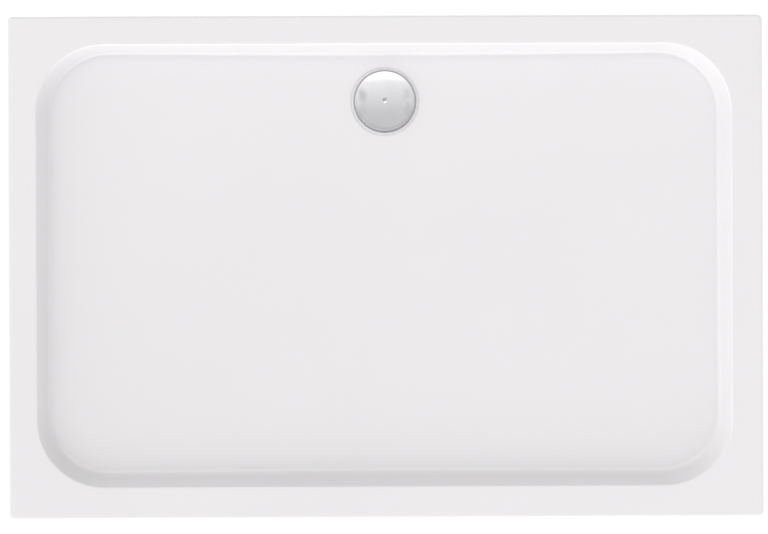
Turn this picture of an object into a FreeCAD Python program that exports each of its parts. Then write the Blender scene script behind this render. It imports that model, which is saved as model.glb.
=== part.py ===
"""Rectangular acrylic shower tray on a levelling frame, with its waste trap.

Millimetres. The origin is on the room's floor under the middle of the tray, +Z is up,
+X runs along the long side and +Y points at the wall side, where the waste is.
Each physical piece is written to its own STEP file in parts/.
"""

import FreeCAD
import Part
import math
import os

V = FreeCAD.Vector
X_AXIS, Z_AXIS = V(1, 0, 0), V(0, 0, 1)
OVERRUN = 1.0  # a cutting form runs this far past the face that it opens

# ---- tray outline
TRAY_LENGTH = 1200.0
TRAY_WIDTH = 800.0
RIM_Z = 160.0  # top of the rim above the room's floor, feet wound right out
SKIRT_DEPTH = 60.0
OUTER_CORNER_R = 8.0
RIM_OUTER_EDGE_R = 6.0

# ---- basin
RIM_SIDE = 48.0  # flat rim on the two short sides
RIM_FRONT = 48.0
RIM_BACK = 44.0
WALL_RUN_SIDE = 19.0  # how far the wall leans in over WALL_DROP
WALL_RUN_FRONT = 19.0
WALL_RUN_BACK = 15.0
WALL_DROP = 30.0
BASIN_CORNER_R = 99.0
FLOOR_CORNER_R = 88.0  # plan radius of the corner at WALL_DROP below the rim
BASIN_EDGE_R = 6.0  # rim to wall
FLOOR_FILLET_R = 18.0  # wall to floor
DRAIN_DEPTH = 38.0  # rim to the floor's lowest point
FLOOR_FALL = 0.014  # rise of the floor per millimetre away from the waste
DRAIN_FROM_BACK = 134.0

# ---- waste recess in the floor
RECESS_R = 51.0
RECESS_DEPTH = 5.0
RECESS_EDGE_R = 4.0
WASTE_HOLE_R = 45.0
FORM_REACH = 10.0  # the basin's form runs this far above the rim and below the floor

# ---- layers under the acrylic
SHELL_T = 4.5
LAMINATE_T = 2.5
LAMINATE_EDGE_UP = 10.0  # laminate stops this far above the skirt's lower edge
LEAST_CORNER_R = 1.0  # smallest plan corner left on an inner layer
LEAST_EDGE_R = 0.8  # smallest rounding left on an inner layer's upper edge
RESIN_T = 2.0  # resin under the laminate, at the waste where it is thinnest
BOARD_T = 12.0
BOARD_INSET = 22.0  # board edge inside the floor's outline
BOARD_CORNER_R = 60.0
BOARD_TRAP_HOLE_R = 70.0

# ---- levelling frame
RAIL_WIDTH = 40.0
RAIL_HEIGHT = 20.0
RAIL_T = 2.0
RAIL_FROM_END = 220.0  # middle of a long rail to the tray's end
RAIL_END_GAP = 40.0  # end of a long rail to the tray's front or back
FOOT_FROM_RAIL_END = 25.0
CENTRE_RAIL_LENGTH = 170.0
CENTRE_FOOT_Y = -80.0
RAIL_SCREWS = 4  # on each long rail
SCREW_FROM_RAIL_END = 105.0
CENTRE_SCREW_OFFSET = 60.0  # screw to foot on the short rail
RAIL_SCREW_R = 2.0
RAIL_SCREW_HEAD_R = 4.5
RAIL_SCREW_HEAD_T = 2.8
RAIL_SCREW_HEAD_ROUND = 1.4
RAIL_SCREW_HEX = 3.5  # across the flats of the driver's socket
RAIL_SCREW_HEX_DEPTH = 1.6
RAIL_SCREW_LENGTH = 12.0  # under the head
RAIL_HOLE_CLEARANCE = 0.5  # stud to the hole in the rail's web
SCREW_CLEARANCE = 0.1

# ---- levelling feet
STUD_R = 5.0
STUD_CLEARANCE = 0.1
STUD_TOP_GAP = 1.0  # stud top below the rail's upper face, wound right out
STUD_CHAMFER = 1.0
HOLE_OVER_STUD_R = 7.0
NUT_FLATS = 16.0
NUT_HEIGHT = 8.0
NUT_TRIM = 0.25  # turned off the nut's corners
NUT_CHAMFER = 0.8
LOCK_NUT_HEIGHT = 5.0
SOLE_R = 24.5
SOLE_T = 2.5
SOLE_GROOVE_IN = 5.0  # groove's outer side from the sole's edge
SOLE_GROOVE_WIDTH = 3.0
SOLE_GROOVE_DEPTH = 0.8
PAD_R = 25.0
PAD_T = 6.0
PAD_EDGE_R = 2.0
PAD_HUB_R = 12.0
PAD_HUB_TOP_R = 9.5
PAD_HUB_HEIGHT = 15.5
PAD_RIB_T = 2.0
PAD_RIB_HEIGHT = 9.0
PAD_RIB_IN = 4.0  # rib's foot from the pad's edge
PAD_RIBS = 6
JOURNAL_R = 4.0
JOURNAL_LENGTH = 12.0
JOURNAL_CLEARANCE = 0.1
COLLAR_FLATS = 13.0
COLLAR_HEIGHT = 6.5
SEAT_GAP = 0.3  # pieces that lift or turn rest this far from their seat

# ---- waste flange and its gaskets
GASKET_T = 1.5
FLANGE_T = 1.5
FLANGE_R = 50.3
FLANGE_EDGE_R = 0.6
SLEEVE_T = 1.2
SLEEVE_GAP = 0.2  # flange sleeve to the trap body under it
GASKET_IN = 0.3  # flange's gasket inside the flange's edge
BODY_GASKET_T = 3.0
BODY_GASKET_IN = 1.0  # body's gasket inside the body's flange
FLANGE_SCREWS = 3
FLANGE_SCREW_PCR = 41.0
FLANGE_SCREW_R = 2.4
FLANGE_SCREW_HEAD_R = 4.4
FLANGE_SCREW_HEAD_T = 1.8
FLANGE_SCREW_HEAD_ROUND = 0.7
FLANGE_SCREW_LENGTH = 26.0
SCREW_SLOT = 1.0  # width of the driver slot
SCREW_SLOT_DEPTH = 0.9

# ---- trap body
BODY_FLANGE_LAP = 12.0  # body's flange past the edge of the waste hole
BODY_FLANGE_T = 4.0
BOWL_R = 54.0
BOWL_T = 2.5
BOWL_CLEAR_OF_FLOOR = 24.0
BOWL_FOOT_R = 8.0  # rounding at the bottom of the bowl
LEDGE_T = 3.0
LEDGE_R = 33.0
LEDGE_CLEARANCE = 0.6  # insert's funnel to the ledge
BOSS_R = 5.0
BOSS_LENGTH = 12.0
BOSS_FLOOR = 2.0  # left under the screw's hole
CUP_POSTS = 4
CUP_POST_R = 3.0
CUP_POST_PCR = 22.0
CUP_POST_HEIGHT = 3.0

# ---- lift-out pieces of the trap
INSERT_R = 36.0
INSERT_GAP = 0.45  # collar to the flange's sleeve
INSERT_HEIGHT = 13.0
INSERT_T = 4.0
O_RING_SECTION_R = 1.4
O_RING_DOWN = 6.0  # centre of the O-ring below the collar's top
O_RING_GAP = 0.2  # O-ring to the sleeve
GROOVE_CLEARANCE = 0.05  # O-ring to the sides and floor of its groove
FUNNEL_DROP = 6.0
FUNNEL_T = 2.5
DIP_R = 21.0
DIP_T = 2.0
DIP_END_Z = 38.0
CUP_R = 31.5
CUP_T = 2.0
CUP_HEIGHT = 58.0
CUP_FOOT_R = 4.0  # rounding at the bottom of the cup
STRAINER_R = 35.6
STRAINER_T = 1.7
BASKET_R = 31.0
BASKET_T = 1.5
BASKET_DEPTH = 8.0
BASKET_SLOTS = 20
BASKET_SLOT_WIDTH = 3.0
BASKET_SLOT_MARGIN = 0.8  # slot's ends from the basket's floor and rim
BASKET_HOLE_R = 2.2
BASKET_HOLE_RINGS = (12.5, 18.5, 24.5)  # radii of the rings of holes
BASKET_HOLE_PITCH = 7.7  # hole to hole round a ring
SOCKET_R = 7.0
SOCKET_UP = 1.2  # socket's rim above the strainer

# ---- cover
COVER_R = 47.5
COVER_T = 1.5
COVER_EDGE_UP = 0.3  # cover's lower edge above the floor round the waste
COVER_LIP = 2.0  # upright edge of the cover
COVER_RISE = 6.5  # from the lip to the middle of the dome
COVER_SHOULDER_R = 4.0
DIMPLE_R = 3.2
DIMPLE_DEPTH = 0.8
STEM_R = 4.0
STEM_CLEARANCE = 0.1
HUB_R = 15.0
HUB_T = 2.5
HUB_WEB_T = 1.8
HUB_WEBS = 4
HUB_WEB_DROP = 3.0
HUB_WEB_IN = 1.0  # web's end inside the hub's edge

# ---- outlet
PIPE_R = 20.0
PIPE_T = 2.5
PIPE_LENGTH = 80.0  # from the ball's centre
PIPE_CHAMFER = 1.5
BALL_R = 27.0
BALL_GAP = 0.3
BALL_CUT = 20.0  # flat back of the ball behind its centre
BALL_FROM_BOWL = 36.0
OUTLET_Z = 56.0
STUB_R = 30.5
STUB_BORE_R = 17.5
STUB_END = 1.0  # end of the stub short of the ball's centre
SEAL_T = 9.0
SEAL_BACK = 23.5  # back face of the seal behind the ball's centre
SEAL_R = 28.2
SEAL_CLEARANCE = 0.1  # seal to the stub around it
SEAL_BORE_OVER = 1.0  # seal's bore over the stub's bore
NUT_BODY_R = 33.8
NUT_GRIP_R = 35.0
NUT_GRIPS = 12
NUT_GRIP_WIDTH = 5.0
NUT_GRIP_END = 2.0  # grips run this far past the ball's centre
NUT_BACK = 16.0
NUT_FRONT = 12.0
NUT_APERTURE_R = 23.4
THREAD_CLEARANCE = 0.1

# ---- worked out
HALF_L, HALF_W = TRAY_LENGTH / 2, TRAY_WIDTH / 2
SKIRT_Z = RIM_Z - SKIRT_DEPTH
DRAIN_Y = HALF_W - DRAIN_FROM_BACK
DRAIN_Z = RIM_Z - DRAIN_DEPTH
SEAT_Z = DRAIN_Z - RECESS_DEPTH
BACKING_T = SHELL_T + LAMINATE_T
BOARD_TOP_Z = DRAIN_Z - BACKING_T - RESIN_T
BOARD_Z = BOARD_TOP_Z - BOARD_T
RAIL_Z = BOARD_Z - RAIL_HEIGHT
WEB_Z = BOARD_Z - RAIL_T
FLANGE_Z = SEAT_Z + GASKET_T
FLANGE_TOP_Z = FLANGE_Z + FLANGE_T
SLEEVE_R = INSERT_R + INSERT_GAP
BODY_FLANGE_R = WASTE_HOLE_R + BODY_FLANGE_LAP
BODY_GASKET_Z = SEAT_Z - BACKING_T - BODY_GASKET_T
BODY_FLANGE_Z = BODY_GASKET_Z - BODY_FLANGE_T
BOWL_Z = BOWL_CLEAR_OF_FLOOR
INSERT_Z = BODY_FLANGE_Z + SEAT_GAP
INSERT_TOP_Z = INSERT_Z + INSERT_HEIGHT
CUP_Z = BOWL_Z + BOWL_T + CUP_POST_HEIGHT + SEAT_GAP
STRAINER_Z = INSERT_TOP_Z + SEAT_GAP
BASKET_Z = STRAINER_Z - BASKET_DEPTH
COVER_Z = DRAIN_Z + FLOOR_FALL * RECESS_R + COVER_EDGE_UP
COVER_TOP_Z = COVER_Z + COVER_LIP + COVER_RISE
BALL_X = BOWL_R + BALL_FROM_BOWL
RAIL_X = HALF_L - RAIL_FROM_END
RAIL_LENGTH = TRAY_WIDTH - 2 * RAIL_END_GAP
FOOT_Y = RAIL_LENGTH / 2 - FOOT_FROM_RAIL_END
FEET = (
    (-RAIL_X, -FOOT_Y),
    (RAIL_X, -FOOT_Y),
    (-RAIL_X, FOOT_Y),
    (RAIL_X, FOOT_Y),
    (0.0, CENTRE_FOOT_Y),
)
STUD_TOP_Z = BOARD_Z - STUD_TOP_GAP
JOURNAL_Z = SOLE_T + PAD_T + PAD_HUB_HEIGHT - JOURNAL_LENGTH
COLLAR_Z = SOLE_T + PAD_T + PAD_HUB_HEIGHT + SEAT_GAP


# ---- shapes that several pieces use
def cylinder(x, y, z, radius, height):
    return Part.makeCylinder(radius, height, V(x, y, z))


def tube(x, y, z, outer, inner, height):
    return cylinder(x, y, z, outer, height).cut(cylinder(x, y, z, inner, height))


def block(x0, x1, y0, y1, z0, z1):
    return Part.makeBox(x1 - x0, y1 - y0, z1 - z0, V(x0, y0, z0))


def rounded_wire(x0, x1, y0, y1, radius, z):
    """A rectangle with round corners at height z, as four lines and four arcs."""
    corners = (
        (x1 - radius, y0 + radius, -90),
        (x1 - radius, y1 - radius, 0),
        (x0 + radius, y1 - radius, 90),
        (x0 + radius, y0 + radius, 180),
    )

    def on_arc(corner, turn):
        angle = math.radians(corner[2] + turn)
        return V(corner[0] + radius * math.cos(angle), corner[1] + radius * math.sin(angle), z)

    edges = []
    for i, corner in enumerate(corners):
        following = corners[(i + 1) % 4]
        edges.append(Part.Arc(on_arc(corner, 0), on_arc(corner, 45), on_arc(corner, 90)).toShape())
        edges.append(Part.makeLine(on_arc(corner, 90), on_arc(following, 0)))
    return Part.Wire(edges)


def rounded_slab(x0, x1, y0, y1, radius, z0, z1):
    return Part.Face(rounded_wire(x0, x1, y0, y1, radius, z0)).extrude(V(0, 0, z1 - z0))


def revolved(points, x=0.0, y=0.0):
    """A closed outline of (radius, height) points turned about the vertical through x, y."""
    outline = [V(x + r, y, z) for r, z in points]
    face = Part.Face(Part.makePolygon(outline + [outline[0]]))
    return face.revolve(V(x, y, 0), Z_AXIS, 360)


def hexagon(x, y, z, flats, height):
    """A hexagonal prism that measures `flats` across its flats, with flats facing +X and -X."""
    reach = flats / math.sqrt(3)
    turns = [math.radians(30 + 60 * i) for i in range(7)]
    wire = Part.makePolygon([V(x + reach * math.cos(t), y + reach * math.sin(t), z) for t in turns])
    return Part.Face(wire).extrude(V(0, 0, height))


def edges_at(shape, z, inside=None, tolerance=0.01):
    """Edges that lie wholly at height z, and within the (x, y) reach given by inside."""
    found = []
    for edge in shape.Edges:
        box = edge.BoundBox
        level = abs(box.ZMin - z) < tolerance and abs(box.ZMax - z) < tolerance
        near = inside is None or max(abs(box.XMin), abs(box.XMax)) < inside
        if level and near:
            found.append(edge)
    return found


def around(centre, count, phase=0.0):
    """(x, y, degrees) of `count` places spread evenly about centre = (x, y, radius)."""
    x, y, radius = centre
    for i in range(count):
        turn = phase + 360.0 * i / count
        yield x + radius * math.cos(math.radians(turn)), y + radius * math.sin(math.radians(turn)), turn


def group(solids):
    return Part.makeCompound(list(solids))


# ---- tray
def basin_form(grow):
    """The hollow of the basin as a solid, swollen by `grow` so that layers can follow it."""
    lean = math.atan(WALL_RUN_SIDE / WALL_DROP)
    side = grow / math.cos(lean)  # sideways growth of a leaning wall
    lowest = DRAIN_DEPTH + grow + FORM_REACH

    def outline(depth):
        share = depth / WALL_DROP  # 0 at the rim, 1 at WALL_DROP below it
        radius = BASIN_CORNER_R + (FLOOR_CORNER_R - BASIN_CORNER_R) * share
        return rounded_wire(
            -HALF_L + RIM_SIDE + WALL_RUN_SIDE * share - side,
            HALF_L - RIM_SIDE - WALL_RUN_SIDE * share + side,
            -HALF_W + RIM_FRONT + WALL_RUN_FRONT * share - side,
            HALF_W - RIM_BACK - WALL_RUN_BACK * share + side,
            radius + side,
            RIM_Z - depth,
        )

    walls = Part.makeLoft([outline(-FORM_REACH), outline(lowest)], True, True)
    floor_reach = TRAY_LENGTH
    above = RIM_Z + FORM_REACH + OVERRUN
    above_floor = revolved(
        [
            (0, DRAIN_Z - grow),
            (floor_reach, DRAIN_Z - grow + FLOOR_FALL * floor_reach),
            (floor_reach, above),
            (0, above),
        ],
        y=DRAIN_Y,
    )
    form = walls.common(above_floor)
    foot = [e for e in form.Edges if e.BoundBox.ZMax < RIM_Z - WALL_DROP / 2]
    form = form.makeFillet(FLOOR_FILLET_R + grow, foot)
    recess = cylinder(0, DRAIN_Y, SEAT_Z - grow, RECESS_R + grow, RECESS_DEPTH + WALL_DROP / 2)
    return form.fuse(recess).removeSplitter()


def outer_form(inset, low_z):
    """The outside of the tray as a closed block, drawn in by `inset`, down to low_z."""
    form = rounded_slab(
        -HALF_L + inset,
        HALF_L - inset,
        -HALF_W + inset,
        HALF_W - inset,
        max(OUTER_CORNER_R - inset, LEAST_CORNER_R),
        low_z,
        RIM_Z - inset,
    )
    edge_r = max(RIM_OUTER_EDGE_R - inset, LEAST_EDGE_R)
    return form.makeFillet(edge_r, edges_at(form, RIM_Z - inset))


def waste_hole(radius):
    return cylinder(0, DRAIN_Y, 0, radius, RIM_Z)


def tray_shell():
    """The vacuum-formed acrylic: rim, skirt, basin walls, floor and waste recess."""
    solid = outer_form(0, SKIRT_Z).cut(basin_form(0))
    solid = solid.makeFillet(BASIN_EDGE_R, edges_at(solid, RIM_Z, HALF_L - RIM_SIDE / 2))
    recess_rim = [e for e in solid.Edges if is_recess_rim(e)]
    solid = solid.makeFillet(RECESS_EDGE_R, recess_rim)
    hollow = outer_form(SHELL_T, SKIRT_Z - OVERRUN).cut(basin_form(SHELL_T))
    return solid.cut(hollow).cut(waste_hole(WASTE_HOLE_R))


def is_recess_rim(edge):
    """True for the edge where the waste recess meets the floor."""
    box = edge.BoundBox
    off = min(abs(box.XLength - 2 * RECESS_R), abs(box.YLength - 2 * RECESS_R))
    return off < OVERRUN and box.ZMin > SEAT_Z + RECESS_DEPTH / 2


def laminate_backing():
    """Glass-fibre laminate bonded to the whole underside of the acrylic."""
    low_z = SKIRT_Z + LAMINATE_EDGE_UP
    outside = outer_form(SHELL_T, low_z).cut(basin_form(SHELL_T))
    inside = outer_form(BACKING_T, SKIRT_Z).cut(basin_form(BACKING_T))
    return outside.cut(inside).cut(waste_hole(WASTE_HOLE_R))


def board_outline(z0, z1):
    return rounded_slab(
        -HALF_L + RIM_SIDE + WALL_RUN_SIDE + BOARD_INSET,
        HALF_L - RIM_SIDE - WALL_RUN_SIDE - BOARD_INSET,
        -HALF_W + RIM_FRONT + WALL_RUN_FRONT + BOARD_INSET,
        HALF_W - RIM_BACK - WALL_RUN_BACK - BOARD_INSET,
        BOARD_CORNER_R,
        z0,
        z1,
    ).cut(waste_hole(BOARD_TRAP_HOLE_R))


def stud_holes():
    """Clearance over the centre stud; the corner studs stand outside the board."""
    return cylinder(0, CENTRE_FOOT_Y, 0, HOLE_OVER_STUD_R, RIM_Z)


def resin_bed():
    """Resin that fills the wedge between the sloping laminate and the flat board."""
    wedge = board_outline(BOARD_TOP_Z, RIM_Z).cut(basin_form(BACKING_T))
    return wedge.cut(stud_holes())


def base_board():
    board = board_outline(BOARD_Z, BOARD_TOP_Z).cut(stud_holes())
    pilot_depth = RAIL_SCREW_LENGTH - RAIL_T + OVERRUN
    for x, y in rail_screw_places():
        board = board.cut(cylinder(x, y, BOARD_Z, RAIL_SCREW_R + SCREW_CLEARANCE, pilot_depth))
    return board


# ---- levelling frame
def rail_screw_places():
    first = SCREW_FROM_RAIL_END - RAIL_LENGTH / 2
    step = -2 * first / (RAIL_SCREWS - 1)
    places = [(x, first + i * step) for x in (-RAIL_X, RAIL_X) for i in range(RAIL_SCREWS)]
    return places + [(0.0, CENTRE_FOOT_Y + side * CENTRE_SCREW_OFFSET) for side in (-1, 1)]


def rail(x, y, length, foot_ys):
    """A channel with its web up against the board and its two flanges hanging down."""
    half = RAIL_WIDTH / 2
    channel = block(x - half, x + half, y - length / 2, y + length / 2, RAIL_Z, BOARD_Z)
    bend = [e for e in channel.Edges if e.BoundBox.YLength > length / 2 and e.BoundBox.ZMin > WEB_Z]
    channel = channel.makeFillet(RAIL_T, bend)
    inner = half - RAIL_T
    channel = channel.cut(block(x - inner, x + inner, y - length, y + length, RAIL_Z - OVERRUN, WEB_Z))
    for foot_y in foot_ys:
        channel = channel.cut(cylinder(x, foot_y, WEB_Z, STUD_R + RAIL_HOLE_CLEARANCE, RAIL_T))
    for screw_x, screw_y in rail_screw_places():
        if screw_x == x:
            channel = channel.cut(cylinder(x, screw_y, WEB_Z, RAIL_SCREW_R + SCREW_CLEARANCE, RAIL_T))
    return channel


def rail_screw(x, y):
    """A pan-head wood screw driven up through the rail's web into the board."""
    head_z = WEB_Z - RAIL_SCREW_HEAD_T
    head = cylinder(x, y, head_z, RAIL_SCREW_HEAD_R, RAIL_SCREW_HEAD_T)
    head = head.makeFillet(RAIL_SCREW_HEAD_ROUND, edges_at(head, head_z))
    recess = hexagon(x, y, head_z, RAIL_SCREW_HEX, RAIL_SCREW_HEX_DEPTH)
    shank = cylinder(x, y, WEB_Z, RAIL_SCREW_R, RAIL_SCREW_LENGTH)
    return head.cut(recess).fuse(shank)


def nut(x, y, z, height):
    body = hexagon(x, y, z, NUT_FLATS, height)
    trim = cylinder(x, y, z, NUT_FLATS / math.sqrt(3) - NUT_TRIM, height)
    trim = trim.makeChamfer(NUT_CHAMFER, edges_at(trim, z) + edges_at(trim, z + height))
    return body.common(trim).cut(cylinder(x, y, z, STUD_R + STUD_CLEARANCE, height))


# ---- levelling feet
def foot_stud(x, y):
    """Threaded stud with a spanner collar; its plain lower end turns in the pad."""
    thread_z = COLLAR_Z + COLLAR_HEIGHT
    thread = cylinder(x, y, thread_z, STUD_R, STUD_TOP_Z - thread_z)
    thread = thread.makeChamfer(STUD_CHAMFER, edges_at(thread, STUD_TOP_Z))
    journal = cylinder(x, y, JOURNAL_Z + SEAT_GAP, JOURNAL_R, COLLAR_Z - JOURNAL_Z - SEAT_GAP)
    collar = hexagon(x, y, COLLAR_Z, COLLAR_FLATS, COLLAR_HEIGHT)
    return journal.fuse(collar).fuse(thread).removeSplitter()


def foot_pad(x, y):
    """Moulded foot: a dished disc, a tapered hub with the stud's socket, and ribs."""
    base_z = SOLE_T
    disc = cylinder(x, y, base_z, PAD_R, PAD_T)
    disc = disc.makeFillet(PAD_EDGE_R, edges_at(disc, base_z + PAD_T))
    hub = Part.makeCone(PAD_HUB_R, PAD_HUB_TOP_R, PAD_HUB_HEIGHT, V(x, y, base_z + PAD_T))
    pad = disc.fuse(hub)
    for _, _, turn in around((x, y, 0), PAD_RIBS):
        reach = PAD_R - PAD_RIB_IN
        foot = base_z + PAD_T
        profile = [
            V(x, y, foot - OVERRUN),
            V(x + reach, y, foot - OVERRUN),
            V(x + reach, y, foot),
            V(x + PAD_HUB_TOP_R, y, foot + PAD_RIB_HEIGHT),
            V(x, y, foot + PAD_RIB_HEIGHT),
        ]
        rib = Part.Face(Part.makePolygon(profile + [profile[0]])).extrude(V(0, PAD_RIB_T, 0))
        rib.translate(V(0, -PAD_RIB_T / 2, 0))
        rib.rotate(V(x, y, 0), Z_AXIS, turn)
        pad = pad.fuse(rib)
    socket = cylinder(x, y, JOURNAL_Z, JOURNAL_R + JOURNAL_CLEARANCE, JOURNAL_LENGTH + OVERRUN)
    return pad.cut(socket).removeSplitter()


def foot_sole(x, y):
    """Rubber disc under the pad, with a shallow ring groove on the side that meets the floor."""
    outer = SOLE_R - SOLE_GROOVE_IN
    groove = tube(x, y, 0, outer, outer - SOLE_GROOVE_WIDTH, SOLE_GROOVE_DEPTH)
    return cylinder(x, y, 0, SOLE_R, SOLE_T).cut(groove)


# ---- waste
def waste_flange():
    """Stainless clamping ring with a sleeve that guides the lift-out insert."""
    sleeve_low = BODY_FLANGE_Z + BODY_FLANGE_T + SLEEVE_GAP
    ring = revolved(
        [
            (SLEEVE_R, sleeve_low),
            (SLEEVE_R + SLEEVE_T, sleeve_low),
            (SLEEVE_R + SLEEVE_T, FLANGE_Z),
            (FLANGE_R, FLANGE_Z),
            (FLANGE_R, FLANGE_TOP_Z),
            (SLEEVE_R, FLANGE_TOP_Z),
        ],
        y=DRAIN_Y,
    )
    ring = ring.makeFillet(FLANGE_EDGE_R, edges_at(ring, FLANGE_TOP_Z))
    for x, y, _ in flange_screw_places():
        ring = ring.cut(cylinder(x, y, FLANGE_Z, FLANGE_SCREW_R + SCREW_CLEARANCE, FLANGE_T))
    return ring


def flange_screw_places():
    return around((0, DRAIN_Y, FLANGE_SCREW_PCR), FLANGE_SCREWS, 90.0)


def flange_screw(x, y):
    """Slotted cheese-head screw that pulls the flange and the trap body together."""
    head_top_z = FLANGE_TOP_Z + FLANGE_SCREW_HEAD_T
    head = cylinder(x, y, FLANGE_TOP_Z, FLANGE_SCREW_HEAD_R, FLANGE_SCREW_HEAD_T)
    head = head.makeFillet(FLANGE_SCREW_HEAD_ROUND, edges_at(head, head_top_z))
    reach, half = FLANGE_SCREW_HEAD_R, SCREW_SLOT / 2
    slot = block(x - reach, x + reach, y - half, y + half, head_top_z - SCREW_SLOT_DEPTH, head_top_z)
    shank = cylinder(x, y, FLANGE_TOP_Z - FLANGE_SCREW_LENGTH, FLANGE_SCREW_R, FLANGE_SCREW_LENGTH)
    return head.cut(slot).fuse(shank)


def flange_gasket():
    return tube(0, DRAIN_Y, SEAT_Z, FLANGE_R - GASKET_IN, WASTE_HOLE_R, GASKET_T)


def body_gasket():
    return tube(0, DRAIN_Y, BODY_GASKET_Z, BODY_FLANGE_R - BODY_GASKET_IN, WASTE_HOLE_R, BODY_GASKET_T)


def along_x(x, radius, length):
    """A cylinder on the outlet's axis, from x towards +X."""
    return Part.makeCylinder(radius, length, V(x, DRAIN_Y, OUTLET_Z), X_AXIS)


def ball(radius):
    return Part.makeSphere(radius, V(BALL_X, DRAIN_Y, OUTLET_Z), X_AXIS)


def trap_body():
    """Bowl with a clamping flange, a ledge for the insert, and the outlet's stub."""
    top_z = BODY_FLANGE_Z + BODY_FLANGE_T
    ledge_z = BODY_FLANGE_Z - LEDGE_T
    outer = revolved(
        [
            (0, BOWL_Z),
            (BOWL_R, BOWL_Z),
            (BOWL_R, BODY_FLANGE_Z),
            (BODY_FLANGE_R, BODY_FLANGE_Z),
            (BODY_FLANGE_R, top_z),
            (0, top_z),
        ],
        y=DRAIN_Y,
    )
    outer = outer.makeFillet(BOWL_FOOT_R, edges_at(outer, BOWL_Z))
    inner_r = BOWL_R - BOWL_T
    inner = cylinder(0, DRAIN_Y, BOWL_Z + BOWL_T, inner_r, ledge_z - BOWL_Z - BOWL_T)
    inner = inner.makeFillet(BOWL_FOOT_R - BOWL_T, edges_at(inner, BOWL_Z + BOWL_T))
    stub = along_x(0, STUB_R, BALL_X - STUB_END)
    body = outer.fuse(stub)
    for x, y, _ in flange_screw_places():
        boss = cylinder(x, y, ledge_z - BOSS_LENGTH, BOSS_R, BOSS_LENGTH)
        inner = inner.cut(boss)
    for x, y, _ in around((0, DRAIN_Y, CUP_POST_PCR), CUP_POSTS, 45.0):
        inner = inner.cut(cylinder(x, y, BOWL_Z, CUP_POST_R, BOWL_T + CUP_POST_HEIGHT))
    body = body.cut(inner)
    body = body.cut(cylinder(0, DRAIN_Y, ledge_z, LEDGE_R, LEDGE_T))
    body = body.cut(cylinder(0, DRAIN_Y, BODY_FLANGE_Z, SLEEVE_R, BODY_FLANGE_T))
    screw_hole_z = ledge_z - BOSS_LENGTH + BOSS_FLOOR
    for x, y, _ in flange_screw_places():
        body = body.cut(cylinder(x, y, screw_hole_z, FLANGE_SCREW_R + SCREW_CLEARANCE, RIM_Z))
    body = body.cut(along_x(inner_r / 2, STUB_BORE_R, BALL_X))
    seal_room = along_x(BALL_X - SEAL_BACK, SEAL_R + SEAL_CLEARANCE, SEAL_BACK)
    return body.cut(seal_room).removeSplitter()


def outlet_seal():
    """Rubber ring between the stub's shoulder and the ball."""
    back = BALL_X - SEAL_BACK
    ring = along_x(back, SEAL_R, SEAL_T).cut(along_x(back, STUB_BORE_R + SEAL_BORE_OVER, SEAL_T))
    return ring.cut(ball(BALL_R + BALL_GAP))


def outlet_pipe():
    """Ball-ended pipe that swings in the stub; a socket of the waste line slides over it."""
    pipe = along_x(BALL_X, PIPE_R, PIPE_LENGTH)
    end = [e for e in pipe.Edges if e.BoundBox.XMin > BALL_X + PIPE_LENGTH / 2]
    pipe = pipe.makeChamfer(PIPE_CHAMFER, end)
    flat_back = along_x(BALL_X - 2 * BALL_R, 2 * BALL_R, 2 * BALL_R - BALL_CUT)
    body = ball(BALL_R).cut(flat_back).fuse(pipe)
    return body.cut(along_x(BALL_X - BALL_R, PIPE_R - PIPE_T, BALL_R + PIPE_LENGTH))


def union_nut():
    """Grip nut on the stub's thread; its lip holds the ball and leaves it free to swing."""
    back = BALL_X - NUT_BACK
    body = along_x(back, NUT_BODY_R, NUT_BACK + NUT_FRONT)
    half, top = NUT_GRIP_WIDTH / 2, OUTLET_Z + NUT_GRIP_R
    for _, _, turn in around((0, 0, 0), NUT_GRIPS):
        grip = block(back, BALL_X + NUT_GRIP_END, DRAIN_Y - half, DRAIN_Y + half, OUTLET_Z, top)
        grip.rotate(V(0, DRAIN_Y, OUTLET_Z), X_AXIS, turn)
        body = body.fuse(grip)
    body = body.cut(along_x(back, STUB_R + THREAD_CLEARANCE, NUT_BACK - STUB_END + BALL_GAP))
    body = body.cut(along_x(back, BALL_R + BALL_GAP, NUT_BACK)).cut(ball(BALL_R + BALL_GAP))
    return body.cut(along_x(BALL_X, NUT_APERTURE_R, NUT_FRONT)).removeSplitter()


def seal_cup():
    """Cup that keeps the water seal; it stands on four posts in the bowl."""
    outer = cylinder(0, DRAIN_Y, CUP_Z, CUP_R, CUP_HEIGHT)
    outer = outer.makeFillet(CUP_FOOT_R, edges_at(outer, CUP_Z))
    inner = cylinder(0, DRAIN_Y, CUP_Z + CUP_T, CUP_R - CUP_T, CUP_HEIGHT)
    inner = inner.makeFillet(CUP_FOOT_R - CUP_T, edges_at(inner, CUP_Z + CUP_T))
    return outer.cut(inner)


def dip_tube():
    """Lift-out insert: a collar on the body's ledge, a funnel and the dip tube."""
    collar_in = INSERT_R - INSERT_T
    bore = DIP_R - DIP_T
    groove_z = INSERT_TOP_Z - O_RING_DOWN
    funnel_low = INSERT_Z - FUNNEL_DROP
    insert = revolved(
        [
            (collar_in, INSERT_TOP_Z),
            (collar_in, INSERT_Z + FUNNEL_T),
            (bore, funnel_low + DIP_T),
            (bore, DIP_END_Z),
            (DIP_R, DIP_END_Z),
            (DIP_R, funnel_low),
            (LEDGE_R - LEDGE_CLEARANCE, INSERT_Z),
            (INSERT_R, INSERT_Z),
            (INSERT_R, INSERT_TOP_Z),
        ],
        y=DRAIN_Y,
    )
    half = O_RING_SECTION_R + GROOVE_CLEARANCE
    floor_r = o_ring_centre_r() - half
    return insert.cut(tube(0, DRAIN_Y, groove_z - half, INSERT_R + OVERRUN, floor_r, 2 * half))


def o_ring_centre_r():
    return SLEEVE_R - O_RING_GAP - O_RING_SECTION_R


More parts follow.
